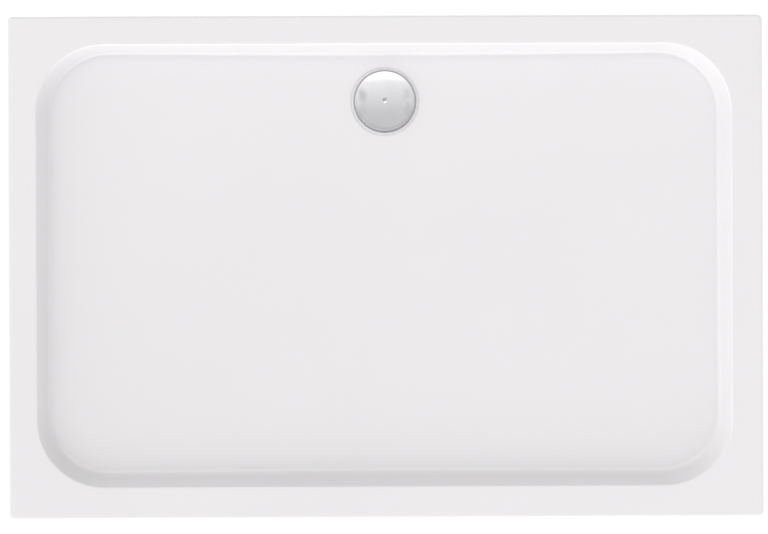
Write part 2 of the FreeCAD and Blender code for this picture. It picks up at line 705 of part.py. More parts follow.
def dip_tube_o_ring():
    return Part.makeTorus(o_ring_centre_r(), O_RING_SECTION_R, V(0, DRAIN_Y, INSERT_TOP_Z - O_RING_DOWN))


def hair_strainer():
    """Basket that hangs in the insert's collar, with a socket for the cover's stem."""
    rim = tube(0, DRAIN_Y, STRAINER_Z, STRAINER_R, BASKET_R - BASKET_T, STRAINER_T)
    wall = tube(0, DRAIN_Y, BASKET_Z, BASKET_R, BASKET_R - BASKET_T, BASKET_DEPTH)
    floor = cylinder(0, DRAIN_Y, BASKET_Z, BASKET_R - BASKET_T, BASKET_T)
    basket = rim.fuse(wall).fuse(floor)
    slot_low = BASKET_Z + BASKET_T + BASKET_SLOT_MARGIN
    slot_high = STRAINER_Z - BASKET_SLOT_MARGIN
    half = BASKET_SLOT_WIDTH / 2
    inside, outside = BASKET_R - 2 * BASKET_T, BASKET_R + OVERRUN
    for _, _, turn in around((0, 0, 0), BASKET_SLOTS):
        slot = block(inside, outside, DRAIN_Y - half, DRAIN_Y + half, slot_low, slot_high)
        slot.rotate(V(0, DRAIN_Y, 0), Z_AXIS, turn)
        basket = basket.cut(slot)
    for ring_r in BASKET_HOLE_RINGS:
        holes = round(2 * math.pi * ring_r / BASKET_HOLE_PITCH)
        for x, y, _ in around((0, DRAIN_Y, ring_r), holes):
            basket = basket.cut(cylinder(x, y, BASKET_Z, BASKET_HOLE_R, BASKET_T))
    socket_top = STRAINER_Z + STRAINER_T + SOCKET_UP
    socket = cylinder(0, DRAIN_Y, BASKET_Z, SOCKET_R, socket_top - BASKET_Z)
    bore = cylinder(0, DRAIN_Y, BASKET_Z + BASKET_T, STEM_R + STEM_CLEARANCE, socket_top)
    return basket.fuse(socket).cut(bore).removeSplitter()


def dome_radius():
    """Radius of the cover's dome, which is tangent to the rounded shoulder at its edge."""
    reach = COVER_R - COVER_SHOULDER_R
    spare = COVER_RISE - COVER_SHOULDER_R
    return (reach**2 + COVER_RISE**2 - COVER_SHOULDER_R**2) / (2 * spare)


def cover_form(drop, low_z):
    """The solid under the cover's surface lowered by `drop`: upright lip, shoulder and dome."""
    dome_r = dome_radius()
    lip_z = COVER_Z + COVER_LIP
    dome_centre_z = COVER_TOP_Z - dome_r
    shoulder_r = COVER_SHOULDER_R - drop
    shoulder = V(COVER_R - COVER_SHOULDER_R, 0, lip_z)
    meeting = math.atan2(lip_z - dome_centre_z, shoulder.x)  # where shoulder and dome are tangent

    def on_shoulder(angle):
        return shoulder + V(shoulder_r * math.cos(angle), 0, shoulder_r * math.sin(angle))

    def on_dome(angle):
        return V(math.cos(angle), 0, math.sin(angle)) * (dome_r - drop) + V(0, 0, dome_centre_z)

    top = on_dome(math.pi / 2)
    middle = (meeting + math.pi / 2) / 2
    outline = [
        Part.makeLine(V(0, 0, low_z), V(COVER_R - drop, 0, low_z)),
        Part.makeLine(V(COVER_R - drop, 0, low_z), on_shoulder(0)),
        Part.Arc(on_shoulder(0), on_shoulder(meeting / 2), on_shoulder(meeting)).toShape(),
        Part.Arc(on_shoulder(meeting), on_dome(middle), top).toShape(),
        Part.makeLine(top, V(0, 0, low_z)),
    ]
    form = Part.Face(Part.Wire(outline)).revolve(V(0, 0, 0), Z_AXIS, 360)
    form.translate(V(0, DRAIN_Y, 0))
    return form


def drain_cover():
    """Domed metal cap with a small dimple in its middle."""
    cap = cover_form(0, COVER_Z).cut(cover_form(COVER_T, COVER_Z - OVERRUN))
    dimple_r = (DIMPLE_R**2 + DIMPLE_DEPTH**2) / (2 * DIMPLE_DEPTH)
    dimple = Part.makeSphere(dimple_r, V(0, DRAIN_Y, COVER_TOP_Z - DIMPLE_DEPTH + dimple_r))
    return cap.cut(dimple)


def cover_hub():
    """Plastic hub bonded under the cap, with the stem that plugs into the strainer."""
    disc_z = COVER_TOP_Z - COVER_T - HUB_T
    stem_z = BASKET_Z + BASKET_T + SEAT_GAP
    hub = cylinder(0, DRAIN_Y, disc_z, HUB_R, 2 * HUB_T)
    hub = hub.common(cover_form(COVER_T, COVER_Z))
    hub = hub.fuse(cylinder(0, DRAIN_Y, stem_z, STEM_R, disc_z - stem_z))
    half = HUB_WEB_T / 2
    reach = HUB_R - HUB_WEB_IN
    for _, _, turn in around((0, 0, 0), HUB_WEBS):
        web = block(0, reach, DRAIN_Y - half, DRAIN_Y + half, disc_z - HUB_WEB_DROP, disc_z)
        web.rotate(V(0, DRAIN_Y, 0), Z_AXIS, turn)
        hub = hub.fuse(web)
    return hub.removeSplitter()


# ---- write every piece
def pieces():
    yield "tray_shell", tray_shell()
    yield "laminate_backing", laminate_backing()
    yield "resin_bed", resin_bed()
    yield "base_board", base_board()
    yield "rail_left", rail(-RAIL_X, 0.0, RAIL_LENGTH, (-FOOT_Y, FOOT_Y))
    yield "rail_right", rail(RAIL_X, 0.0, RAIL_LENGTH, (-FOOT_Y, FOOT_Y))
    yield "rail_centre", rail(0.0, CENTRE_FOOT_Y, CENTRE_RAIL_LENGTH, (CENTRE_FOOT_Y,))
    yield "rail_screws", group(rail_screw(x, y) for x, y in rail_screw_places())
    yield "rail_nuts", group(nut(x, y, WEB_Z - NUT_HEIGHT, NUT_HEIGHT) for x, y in FEET)
    lock_z = WEB_Z - NUT_HEIGHT - LOCK_NUT_HEIGHT
    yield "lock_nuts", group(nut(x, y, lock_z, LOCK_NUT_HEIGHT) for x, y in FEET)
    for number, (x, y) in enumerate(FEET, 1):
        yield f"foot_stud_{number}", foot_stud(x, y)
        yield f"foot_pad_{number}", foot_pad(x, y)
        yield f"foot_sole_{number}", foot_sole(x, y)
    yield "waste_flange", waste_flange()
    yield "flange_screws", group(flange_screw(x, y) for x, y, _ in flange_screw_places())
    yield "flange_gasket", flange_gasket()
    yield "body_gasket", body_gasket()
    yield "trap_body", trap_body()
    yield "outlet_seal", outlet_seal()
    yield "outlet_pipe", outlet_pipe()
    yield "union_nut", union_nut()
    yield "seal_cup", seal_cup()
    yield "dip_tube", dip_tube()
    yield "dip_tube_o_ring", dip_tube_o_ring()
    yield "hair_strainer", hair_strainer()
    yield "drain_cover", drain_cover()
    yield "cover_hub", cover_hub()


def main():
    os.makedirs("parts", exist_ok=True)
    for name, shape in pieces():
        shape.exportStep(os.path.join("parts", name + ".step"))
        state = "ok" if shape.isValid() else "NOT VALID"
        print(f"{name:18s} solids {len(shape.Solids):2d}  volume {shape.Volume:12.1f}  {state}")


main()
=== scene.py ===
"""Looks of the shower tray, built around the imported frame. Metres, +Z up, floor at z = 0."""

import math

import bmesh
import bpy
import numpy as np
from bpy.props import FloatProperty, FloatVectorProperty, IntProperty, PointerProperty
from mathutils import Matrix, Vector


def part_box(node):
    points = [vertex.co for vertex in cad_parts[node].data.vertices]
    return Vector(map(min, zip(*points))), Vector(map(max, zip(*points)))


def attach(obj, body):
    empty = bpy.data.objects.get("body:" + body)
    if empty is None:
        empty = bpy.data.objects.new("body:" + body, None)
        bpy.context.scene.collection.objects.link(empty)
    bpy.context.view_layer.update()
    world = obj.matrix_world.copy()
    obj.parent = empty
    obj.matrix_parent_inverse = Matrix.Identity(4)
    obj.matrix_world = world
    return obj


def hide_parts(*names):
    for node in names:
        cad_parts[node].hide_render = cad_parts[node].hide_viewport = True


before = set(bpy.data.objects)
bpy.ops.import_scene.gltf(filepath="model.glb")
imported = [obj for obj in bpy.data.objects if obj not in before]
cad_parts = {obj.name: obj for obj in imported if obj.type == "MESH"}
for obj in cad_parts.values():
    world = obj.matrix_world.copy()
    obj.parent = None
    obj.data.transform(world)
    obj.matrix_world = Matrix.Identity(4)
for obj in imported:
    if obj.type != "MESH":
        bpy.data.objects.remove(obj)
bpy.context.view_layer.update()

bl_info = {
    "name": "Shower Tray",
    "version": (1, 0, 0),
    "blender": (4, 5, 0),
    "location": "3D View > Sidebar > Shower tray",
    "description": "Builds the looks of a rectangular shower tray, its feet and its waste trap",
    "category": "Object",
}

MM = 0.001


# ---- places and sizes that come from the frame
def middle(node):
    """Centre of a node's box."""
    low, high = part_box(node)
    return (low + high) / 2


def radius_of(node):
    """Radius of a round node, from its box along Y."""
    low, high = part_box(node)
    return (high.y - low.y) / 2


TRAY_LOW, TRAY_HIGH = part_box("tray_shell")
HALF_LENGTH = TRAY_HIGH.x
HALF_WIDTH = TRAY_HIGH.y
RIM_Z = TRAY_HIGH.z
SKIRT_Z = TRAY_LOW.z
DRAIN = middle("drain_cover")
OUTLET = middle("union_nut")
DRAIN_AXIS = (DRAIN.x, DRAIN.y, 0)
OUTLET_AXIS = (0, OUTLET.y, OUTLET.z)
FEET = range(1, 6)

# how many points a row or a bend of the tray gets
CORNER_POINTS = 26
SHORT_SIDE_POINTS = 46
FRONT_POINTS = 84
BACK_POINTS = 128
FOOT_BEND_POINTS = 14
EDGE_BEND_POINTS = 9
FLOOR_ROWS = 26
RIM_ROWS = 7
UPRIGHT_ROWS = 6  # on the leaning wall, and on the skirt


# ---- sizes and colours that a user would change
def length(name, millimetres, description):
    """A property that holds a length, with its default given in millimetres."""
    return FloatProperty(
        name=name, default=millimetres * MM, unit="LENGTH", precision=4, description=description
    )


def angle(name, degrees, description):
    return FloatProperty(
        name=name, default=math.radians(degrees), subtype="ANGLE", description=description
    )


def colour(name, value, description):
    return FloatVectorProperty(
        name=name, default=value, subtype="COLOR", min=0.0, max=1.0, description=description
    )


def amount(name, value, description):
    return FloatProperty(name=name, default=value, min=0.0, description=description)


class BasinForm(bpy.types.PropertyGroup):
    """Shape of the moulded tray."""

    rim_left: length("Left rim", 47.5, "Width of the flat rim at the waste's left")
    rim_right: length("Right rim", 51, "Width of the flat rim at the waste's right")
    rim_front: length("Front rim", 53, "Width of the flat rim at the front")
    rim_back: length("Back rim", 46.5, "Width of the flat rim at the wall")
    run_side: length("Side wall run", 16, "How far a side wall leans in over the wall drop")
    run_front: length("Front wall run", 19, "How far the front wall leans in over the wall drop")
    run_back: length("Back wall run", 9, "How far the back wall leans in over the wall drop")
    wall_drop: length("Wall drop", 30, "Depth over which the wall runs are measured")
    rim_corner: length("Basin corner", 107, "Plan radius of the basin's corners at the rim")
    floor_corner: length("Floor corner", 97, "Plan radius of the corners at the wall drop")
    outer_corner: length("Outer corner", 11, "Plan radius of the tray's outer corners")
    outer_edge: length("Outer edge", 6, "Rounding between the rim and the skirt")
    basin_edge: length("Basin edge", 3.5, "Rounding between the rim and the wall")
    floor_fillet: length("Floor fillet", 6.5, "Rounding between the floor and the wall")
    front_fillet: length("Front fillet", 18, "The same at the front, where it is wider")
    drain_depth: length("Depth", 38, "Rim to the lowest point of the floor")
    floor_fall: amount("Fall", 0.014, "Rise of the floor per metre away from the waste")
    recess: length("Recess", 50, "Radius of the round recess at the waste")
    recess_depth: length("Recess depth", 5, "Depth of the recess below the floor")
    step_width: length("Step width", 3.2, "Width of the flat ring round the recess")
    step_depth: length("Step depth", 0.7, "Depth of the flat ring below the floor")
    step_slope: length("Step slope", 2.6, "Width of the slope from the floor to the ring")
    waste_hole: length("Waste hole", 45, "Radius of the hole for the trap")
    shell: length("Acrylic", 4.5, "Thickness of the acrylic")
    laminate: length("Laminate", 2.5, "Thickness of the glass-fibre laminate")
    laminate_up: length("Laminate edge", 10, "Laminate's edge above the skirt's edge")


class FootForm(bpy.types.PropertyGroup):
    """Shape of the levelling feet and their nuts."""

    stud: length("Stud", 5, "Outer radius of the thread")
    pitch: length("Pitch", 1.5, "Pitch of the thread, as the foot's joint has it")
    thread_depth: length("Thread depth", 0.92, "Crest to root of the thread")
    journal: length("Journal", 4, "Radius of the plain end that turns in the pad")
    journal_height: length("Journal height", 12, "Height of the plain end")
    collar: length("Collar", 13, "Spanner size of the stud's collar")
    collar_height: length("Collar height", 6.5, "Height of the collar")
    nut: length("Nut", 16, "Spanner size of the nuts")
    nut_bore: length("Nut bore", 5.1, "Radius of the hole in the nuts")
    nut_trim: length("Nut trim", 0.25, "Turned off the corners of the nuts")
    groove_in: length("Groove in", 5, "Sole's edge to the outer side of its groove")
    groove_width: length("Groove width", 3, "Width of the sole's groove")
    groove_depth: length("Groove depth", 0.8, "Depth of the sole's groove")


class WasteForm(bpy.types.PropertyGroup):
    """Shape of the waste, its cover and the lift-out pieces."""

    cover_lip: length("Cover lip", 5, "Height of the cover's upright edge")
    cover_shoulder: length("Cover shoulder", 0.6, "Rounding between the lip and the dome")
    cover_sheet: length("Cover sheet", 1.5, "Thickness of the cover")
    dimple: length("Dimple", 3.5, "Radius of the dimple in the cover")
    dimple_depth: length("Dimple depth", 0.8, "Depth of the dimple")
    insert_wall: length("Insert wall", 4, "Wall of the insert's collar")
    insert_height: length("Insert collar", 13, "Height of the insert's collar")
    funnel_drop: length("Funnel drop", 6, "Drop of the funnel under the collar")
    funnel_wall: length("Funnel wall", 2.5, "Thickness of the funnel")
    funnel_foot: length("Funnel foot", 32.4, "Radius of the funnel where it meets the collar")
    dip: length("Dip tube", 21, "Outer radius of the dip tube")
    thin_wall: length("Thin wall", 2, "Wall of the dip tube and of the cup")
    groove_down: length("Ring groove", 6, "Middle of the O-ring's groove below the collar's top")
    groove_half: length("Half groove", 1.45, "Half of the groove's height")
    groove_floor: length("Groove floor", 33.4, "Radius of the groove's floor")
    ring_section: length("Ring section", 1.4, "Radius of the O-ring's section")
    cup_foot: length("Cup foot", 4, "Rounding at the foot of the cup")
    ball: length("Ball", 27, "Radius of the outlet's ball")
    ball_gap: length("Ball gap", 0.3, "Ball to the nut around it")
    ball_cut: length("Ball cut", 20, "Flat back of the ball behind its centre")
    pipe: length("Pipe", 20, "Outer radius of the outlet pipe")
    pipe_wall: length("Pipe wall", 2.5, "Wall of the outlet pipe")
    nut_back: length("Nut back", 16, "Union nut behind the ball's centre")
    nut_body: length("Nut body", 33.8, "Radius of the union nut between its grips")
    nut_grip: length("Nut grip", 35, "Radius of the union nut over its grips")
    grips: IntProperty(name="Grips", default=12, min=3, description="Grips round the union nut")
    grip_end: length("Grip end", 2, "Grips past the ball's centre")
    stub: length("Stub", 30.5, "Radius of the trap's stub")
    stub_thread_from: length("Thread start", 59, "Start of the stub's thread from the waste's axis")
    stub_pitch: length("Stub pitch", 4, "Pitch of the stub's thread")
    stub_thread: length("Stub thread", 1.1, "Height of the stub's thread")


class Palette(bpy.types.PropertyGroup):
    """Base colours of the finishes."""

    acrylic: colour("Acrylic", (0.815, 0.800, 0.812), "Sanitary white of the tray")
    laminate: colour("Laminate", (0.62, 0.60, 0.48), "Glass-fibre laminate")
    resin: colour("Resin", (0.50, 0.47, 0.38), "Cast resin between laminate and board")
    board: colour("Chipboard", (0.48, 0.32, 0.16), "Raw chipboard")
    zinc: colour("Zinc", (0.62, 0.63, 0.62), "Galvanised and zinc-plated steel")
    stainless: colour("Stainless", (0.57, 0.57, 0.58), "Brushed stainless steel")
    chrome: colour("Chrome", (0.93, 0.92, 0.94), "Polished cover")
    white: colour("White plastic", (0.76, 0.76, 0.74), "Moulded trap body")
    grey: colour("Grey plastic", (0.13, 0.135, 0.14), "Moulded lift-out pieces")
    black: colour("Black plastic", (0.018, 0.018, 0.02), "Moulded feet")
    rubber: colour("Rubber", (0.014, 0.014, 0.015), "Seals and soles")


class Studio(bpy.types.PropertyGroup):
    """Camera and light."""

    distance: length("Camera distance", 3000, "Camera above the rim")
    aside: length("Aside", -18.3, "Camera along X from the middle of the tray")
    ahead: length("Ahead", 7.1, "Camera along Y from the middle of the tray")
    tilt_x: angle("Tilt about X", -0.1235, "Camera's tilt about the long side")
    tilt_y: angle("Tilt about Y", -0.30, "Camera's tilt about the short side")
    roll: angle("Roll", -0.225, "Camera's turn about its view")
    lens: FloatProperty(
        name="Lens", default=88.785, unit="CAMERA", description="Focal length on a 36 mm wide film"
    )
    room: amount("Room", 0.59, "Light that comes from all round")
    belt: amount("Belt", 0.44, "Light added low down, less of it on the wall side")
    ceiling: amount("Ceiling", 0.26, "Light added overhead, more of it on the wall side")
    softbox: amount("Softbox", 0.65, "Light added by the softbox over the wall side")
    left: amount("Left light", 0.7, "Light added on the left")
    front: amount("Front light", 1.27, "Light added in front")
    glow: amount("Glow", 0.6, "Light that the pale floor gives")


GROUPS = {
    "basin": BasinForm,
    "foot": FootForm,
    "waste": WasteForm,
    "palette": Palette,
    "studio": Studio,
}


def setting(group):
    """The sizes or colours of one of the groups above."""
    return getattr(bpy.context.scene, "tray_" + group)


# ---- finishes
class Tone:
    """A value in a node tree. Arithmetic on tones adds Math nodes."""

    def __init__(self, owner, socket):
        self.owner = owner
        self.socket = socket

    def _math(self, operation, first, second=None):
        inputs = {0: first} if second is None else {0: first, 1: second}
        return self.owner.node("Math", {"operation": operation}, inputs)

    def __add__(self, other):
        return self._math("ADD", self, other)

    def __radd__(self, other):
        return self._math("ADD", other, self)

    def __sub__(self, other):
        return self._math("SUBTRACT", self, other)

    def __rsub__(self, other):
        return self._math("SUBTRACT", other, self)

    def __mul__(self, other):
        return self._math("MULTIPLY", self, other)

    def __rmul__(self, other):
        return self._math("MULTIPLY", other, self)

    def __pow__(self, other):
        return self._math("POWER", self, other)

    def most(self, other):
        return self._math("MAXIMUM", self, other)

    def ramp(self, low, high, start=0.0, end=1.0):
        """Goes smoothly from `start` to `end` while this tone goes from low to high."""
        inputs = {"Value": self, "From Min": low, "From Max": high, "To Min": start, "To Max": end}
        return self.owner.node("MapRange", {"interpolation_type": "SMOOTHSTEP"}, inputs)


class Nodes:
    """A node tree that patterns are built in, on Object coordinates."""

    def __init__(self, tree):
        self.tree = tree
        self.place = self.node("TexCoord", output="Object")

    def node(self, kind, settings=None, inputs=None, output=0):
        """Adds a node. Its settings are set first, then its inputs, which are values or tones."""
        made = self.tree.nodes.new("ShaderNode" + kind)
        for name, value in (settings or {}).items():
            if name == "stops":
                self._stops(made.color_ramp, value)
            else:
                setattr(made, name, value)
        for name, value in (inputs or {}).items():
            if isinstance(value, Tone):
                self.tree.links.new(value.socket, made.inputs[name])
            else:
                made.inputs[name].default_value = value
        return Tone(self, made.outputs[output])

    @staticmethod
    def _stops(ramp, stops):
        while len(ramp.elements) < len(stops):
            ramp.elements.new(1.0)
        for element, (position, value) in zip(ramp.elements, stops):
            element.position = position
            element.color = value

    # patterns
    def noise(self, scale, detail=3.0, roughness=0.5, place=None, distortion=0.0):
        inputs = {
            "Vector": place or self.place,
            "Scale": scale,
            "Detail": detail,
            "Roughness": roughness,
            "Distortion": distortion,
        }
        return self.node("TexNoise", None, inputs)

    def cells(self, scale, feature="F1", output="Distance", place=None):
        inputs = {"Vector": place or self.place, "Scale": scale}
        return self.node("TexVoronoi", {"feature": feature}, inputs, output)

    def mapped(self, scale=(1, 1, 1), rotation=(0, 0, 0), location=(0, 0, 0)):
        """The coordinates scaled, turned and moved."""
        inputs = {
            "Vector": self.place,
            "Scale": scale,
            "Rotation": rotation,
            "Location": location,
        }
        return self.node("Mapping", None, inputs)

    def blend(self, mask, first, second):
        """Mixes two colours by a mask."""
        inputs = {0: mask, 6: as_colour(first), 7: as_colour(second)}
        return self.node("Mix", {"data_type": "RGBA"}, inputs, 2)

    def axes(self, place=None):
        """The three parts of a vector, or of the coordinates."""
        parts = self.node("SeparateXYZ", None, {0: place or self.place})
        outputs = parts.socket.node.outputs
        return [Tone(self, outputs[i]) for i in range(3)]


class Finish(Nodes):
    """A material with one principled shader."""

    def __init__(self, name, **constants):
        self.material = bpy.data.materials.new(name)
        self.material.use_nodes = True
        self.shader = self.material.node_tree.nodes["Principled BSDF"]
        super().__init__(self.material.node_tree)
        for label, value in constants.items():
            self.socket(label).default_value = value

    def socket(self, name):
        """The shader's input of that name, written with underscores and small letters."""
        words = name.replace("_", " ").title().replace("Ior", "IOR")
        return self.shader.inputs[words]

    def feed(self, **sockets):
        """Links tones to the shader's sockets."""
        for name, tone in sockets.items():
            self.tree.links.new(tone.socket, self.socket(name))
        return self

    def bump(self, height, depth):
        """A normal raised by `height`, which goes from 0 to 1, times a depth in metres."""
        return self.node("Bump", None, {"Height": height, "Distance": depth, "Strength": 1.0})


def as_colour(value):
    """A tone as it is, or a colour with its alpha."""
    if isinstance(value, Tone):
        return value
    return (*tuple(value)[:3], 1.0)


def shade(value, factor):
    """A colour times a factor, held at 1."""
    return tuple(min(1.0, channel * factor) for channel in tuple(value)[:3])


FINISHES = {}


def finish(name):
    """The finish of that name, made the first time it is asked for."""
    if name not in FINISHES:
        FINISHES[name] = MAKERS[name](setting("palette")).material
    return FINISHES[name]


def acrylic(palette):
    """Glossy sanitary acrylic: faint orange peel, hair-fine wiping marks and a near-even white."""
    f = Finish("sanitary_acrylic", coat_roughness=0.04, coat_ior=1.49, ior=1.49)
    cloud = f.noise(2.4, 4.0)
    speck = f.noise(700.0, 2.0).ramp(0.66, 0.74)
    deep, pale = shade(palette.acrylic, 0.99), shade(palette.acrylic, 1.006)
    base = f.blend(cloud.ramp(0.3, 0.7), deep, pale)
    base = f.blend(speck * 0.05, base, shade(palette.acrylic, 0.8))
    wipe = f.noise(60.0, 6.0, 0.7, f.mapped((1, 14, 3), (0, 0, 0.5)))
    rough = cloud * 0.06 + wipe.ramp(0.55, 0.75) * 0.06 + 0.16
    peel = f.noise(240.0, 1.0) * 0.3 + f.noise(34.0, 1.0) * 0.7
    coat = 0.9 - wipe.ramp(0.6, 0.8) * 0.25
    return f.feed(base_color=base, roughness=rough, coat_weight=coat, normal=f.bump(peel, 0.00005))


def laminate(palette):
    """Chopped glass strands in resin: crossing bright threads, wet and dry patches."""
    f = Finish("glass_laminate", ior=1.52)
    threads = None
    for turn in range(4):
        heading = math.radians(20 + 47 * turn)
        place = f.mapped((1.0, 0.06, 0.4), (0.2 * turn, 0.1, heading), (turn, turn, 0))
        strand = f.noise(430.0, 2.0, 0.6, place).ramp(0.58, 0.70)
        threads = strand if threads is None else threads.most(strand)
    wet = f.noise(14.0, 3.0)
    base = f.blend(wet.ramp(0.35, 0.65), shade(palette.laminate, 0.82), palette.laminate)
    base = f.blend(threads * 0.7, base, shade(palette.laminate, 1.45))
    height = threads * 0.7 + f.noise(90.0, 3.0) * 0.6
    rough = wet.ramp(0.35, 0.65, 0.28, 0.55)
    return f.feed(base_color=base, roughness=rough, normal=f.bump(height, 0.0006))


def cast_resin(palette):
    """Poured filler: matt, with pores."""
    f = Finish("cast_resin")
    pores = f.cells(420.0).ramp(0.05, 0.25)
    cloud = f.noise(40.0, 5.0)
    base = f.blend(cloud, shade(palette.resin, 0.85), shade(palette.resin, 1.12))
    base = f.blend(1.0 - pores, base, shade(palette.resin, 0.45))
    rough = cloud * 0.2 + 0.55
    return f.feed(base_color=base, roughness=rough, normal=f.bump(pores + cloud * 0.5, 0.0005))


def chipboard(palette):
    """Pressed chips: flat flakes of several browns, with dark gaps and fine dust."""
    f = Finish("chipboard")
    grain = f.mapped((1, 1.7, 1), (0, 0, 0.6))
    red, green, _ = f.axes(f.cells(210.0, output="Color", place=grain))
    fine, _, _ = f.axes(f.cells(520.0, output="Color"))
    stops = [
        (0.0, as_colour(shade(palette.board, 0.55))),
        (0.3, as_colour(shade(palette.board, 0.9))),
        (0.65, as_colour(shade(palette.board, 1.2))),
        (1.0, as_colour(shade(palette.board, 1.6))),
    ]
    base = f.node("ValToRGB", {"stops": stops}, {"Fac": red * 0.6 + fine * 0.4})
    gaps = f.cells(210.0, "DISTANCE_TO_EDGE", place=grain).ramp(0.0, 0.06)
    base = f.blend((1.0 - gaps) * 0.45, base, shade(palette.board, 0.35))
    height = gaps * 0.5 + green * 0.35 + f.noise(120.0, 2.0) * 0.3
    return f.feed(base_color=base, roughness=fine * 0.15 + 0.62, normal=f.bump(height, 0.0004))


def galvanised(palette):
    """Zinc-dipped sheet: spangles that differ in brightness and gloss, and dull streaks."""
    f = Finish("galvanised_steel", metallic=1.0)
    cell = f.cells(95.0, output="Color", place=f.mapped((1, 0.8, 1), (0, 0, 0.4)))
    spangle, other, _ = f.axes(cell)
    dull = f.noise(18.0, 4.0)
    base = f.blend(spangle, shade(palette.zinc, 0.72), shade(palette.zinc, 1.15))
    base = f.blend(dull.ramp(0.45, 0.75) * 0.5, base, shade(palette.zinc, 0.62))
    rough = other * 0.16 + dull * 0.2 + 0.24
    height = spangle * 0.4 + f.noise(400.0, 2.0) * 0.3
    return f.feed(base_color=base, roughness=rough, normal=f.bump(height, 0.00008))


def zinc_plate(palette):
    """Bright zinc plating with a faint blue and straw bloom."""
    f = Finish("zinc_plate", metallic=1.0)
    bloom = f.noise(70.0, 3.0)
    base = f.blend(bloom, (0.60, 0.66, 0.72), (0.72, 0.68, 0.56))
    grime = f.noise(300.0, 4.0).ramp(0.5, 0.75)
    base = f.blend(grime * 0.4, base, shade(palette.zinc, 0.45))
    return f.feed(base_color=base, roughness=bloom * 0.15 + grime * 0.2 + 0.2)


def round_the_waste(f, across, along):
    """Coordinates that run round the waste's axis, so that a pattern follows the turning."""
    x, y, z = f.axes(f.mapped(location=(-DRAIN.x, -DRAIN.y, 0)))
    radius = (x * x + y * y) ** 0.5
    heading = f.node("Math", {"operation": "ARCTAN2"}, {0: y, 1: x})
    inputs = {0: radius * across, 1: heading * along, 2: z * across}
    return f.node("CombineXYZ", None, inputs)


def stainless(palette):
    """Turned stainless: fine rings round the waste's axis."""
    f = Finish("turned_stainless", metallic=1.0)
    rings = f.noise(1.0, 3.0, 0.7, round_the_waste(f, 4200.0, 2.0))
    base = f.blend(rings, shade(palette.stainless, 0.85), shade(palette.stainless, 1.1))
    rough = rings * 0.22 + 0.2
    return f.feed(base_color=base, roughness=rough, normal=f.bump(rings, 0.00002))


def chrome(palette):
    """Polished chrome: a slightly uneven dome and hair rings, with painted shade towards the lower
    edge, on dull patches at the left and right, and in the dimple.
    """
    f = Finish("polished_chrome", metallic=1.0)
    rings = f.noise(1.0, 2.0, 0.6, round_the_waste(f, 2600.0, 1.5))
    haze = f.noise(45.0, 3.0)
    ragged = (f.noise(110.0, 3.0) - 0.5) * 0.012

    def away(aside, ahead, narrow=1.0):
        """Distance from a place given in millimetres from the waste's axis, with X stretched."""
        location = (-narrow * (DRAIN.x + aside * MM), -DRAIN.y - ahead * MM, 0)
        place = f.mapped((narrow, 1, 0), location=location)
        return f.node("VectorMath", {"operation": "LENGTH"}, {0: place}, "Value")

    def mark(aside, ahead, reach, narrow=1.0):
        """A ragged spot that fades over its reach, narrower along X by the last number."""
        return (away(aside, ahead, narrow) + ragged).ramp(0.1 * reach * MM, reach * MM, 1.0, 0.0)

    # painted shade: the dome darker towards its edge, most along its lower edge
    edge = away(0, 4).ramp(42.5 * MM, 51.5 * MM)
    # dull patches on the left and right, which are also painted darker as shade
    left = mark(-36.5, 10, 17, 1.7) + mark(-38, -20, 18, 1.4) * 0.5
    right = mark(35, 12, 16, 1.5) * 0.45 + mark(37, -14, 18, 2.0) * 0.5
    dullness_and_painted_shade = edge * 0.9 + left + right
    # painted shade: the dimple darker, most on its upper side
    dimple = mark(0, 2.6, 3.6)
    base = f.blend(haze, shade(palette.chrome, 0.97), shade(palette.chrome, 1.02))
    # painted shade: the edge and the side patches darken the chrome's colour
    base = f.blend(dullness_and_painted_shade * 0.6, base, shade(palette.chrome, 0.5))
    # painted shade in the dimple
    base = f.blend(dimple * 0.9, base, shade(palette.chrome, 0.45))
    rough = rings * 0.04 + haze * 0.06 + dullness_and_painted_shade * 0.14 + 0.06
    wave = f.noise(70.0, 2.0, 0.5) * 0.94 + rings * 0.06
    return f.feed(base_color=base, roughness=rough, normal=f.bump(wave, 0.00007))


def moulded(name, base_colour, gloss, grain_depth):
    """Injection-moulded plastic: flow marks, a fine grain and scuffs."""
    f = Finish(name, ior=1.5)
    flow = f.noise(26.0, 4.0, 0.55, f.mapped((1, 1, 2.5)), 0.6)
    grain = f.noise(1500.0, 2.0)
    scuff = f.noise(220.0, 5.0, 0.75, f.mapped((1, 6, 2), (0.3, 0.2, 0.9))).ramp(0.62, 0.78)
    base = f.blend(flow, shade(base_colour, 0.93), shade(base_colour, 1.06))
    base = f.blend(scuff * 0.12, base, shade(base_colour, 1.5))
    rough = grain * 0.1 + scuff * 0.15 + flow * 0.08 + gloss
    return f.feed(base_color=base, roughness=rough, normal=f.bump(grain * 0.6 + flow, grain_depth))


def white_plastic(palette):
    return moulded("white_polypropylene", palette.white, 0.26, 0.00006)


def grey_plastic(palette):
    return moulded("grey_polypropylene", palette.grey, 0.3, 0.00006)


def black_plastic(palette):
    return moulded("black_nylon", palette.black, 0.4, 0.00012)


def rubber(palette):
    """Black rubber with a grey bloom and fine pits."""
    f = Finish("black_rubber", ior=1.5)
    bloom = f.noise(90.0, 4.0)
    pits = f.noise(1100.0, 2.0)
    base = f.blend(bloom.ramp(0.4, 0.8), palette.rubber, shade(palette.rubber, 2.6))
    rough = bloom * 0.15 + 0.6
    return f.feed(base_color=base, roughness=rough, normal=f.bump(pits, 0.0001))


def pale_floor(_palette):
    """Matt pale floor that also gives some light, as a lit studio sweep does."""
    f = Finish("pale_floor", roughness=0.9, emission_strength=setting("studio").glow)
    cloud = f.noise(1.5, 3.0)
    base = f.blend(cloud, (0.70, 0.70, 0.70), (0.73, 0.73, 0.73))
    glow = f.blend(cloud, (0.98, 0.98, 0.98), (1.0, 1.0, 1.0))
    return f.feed(base_color=base, emission_color=glow)


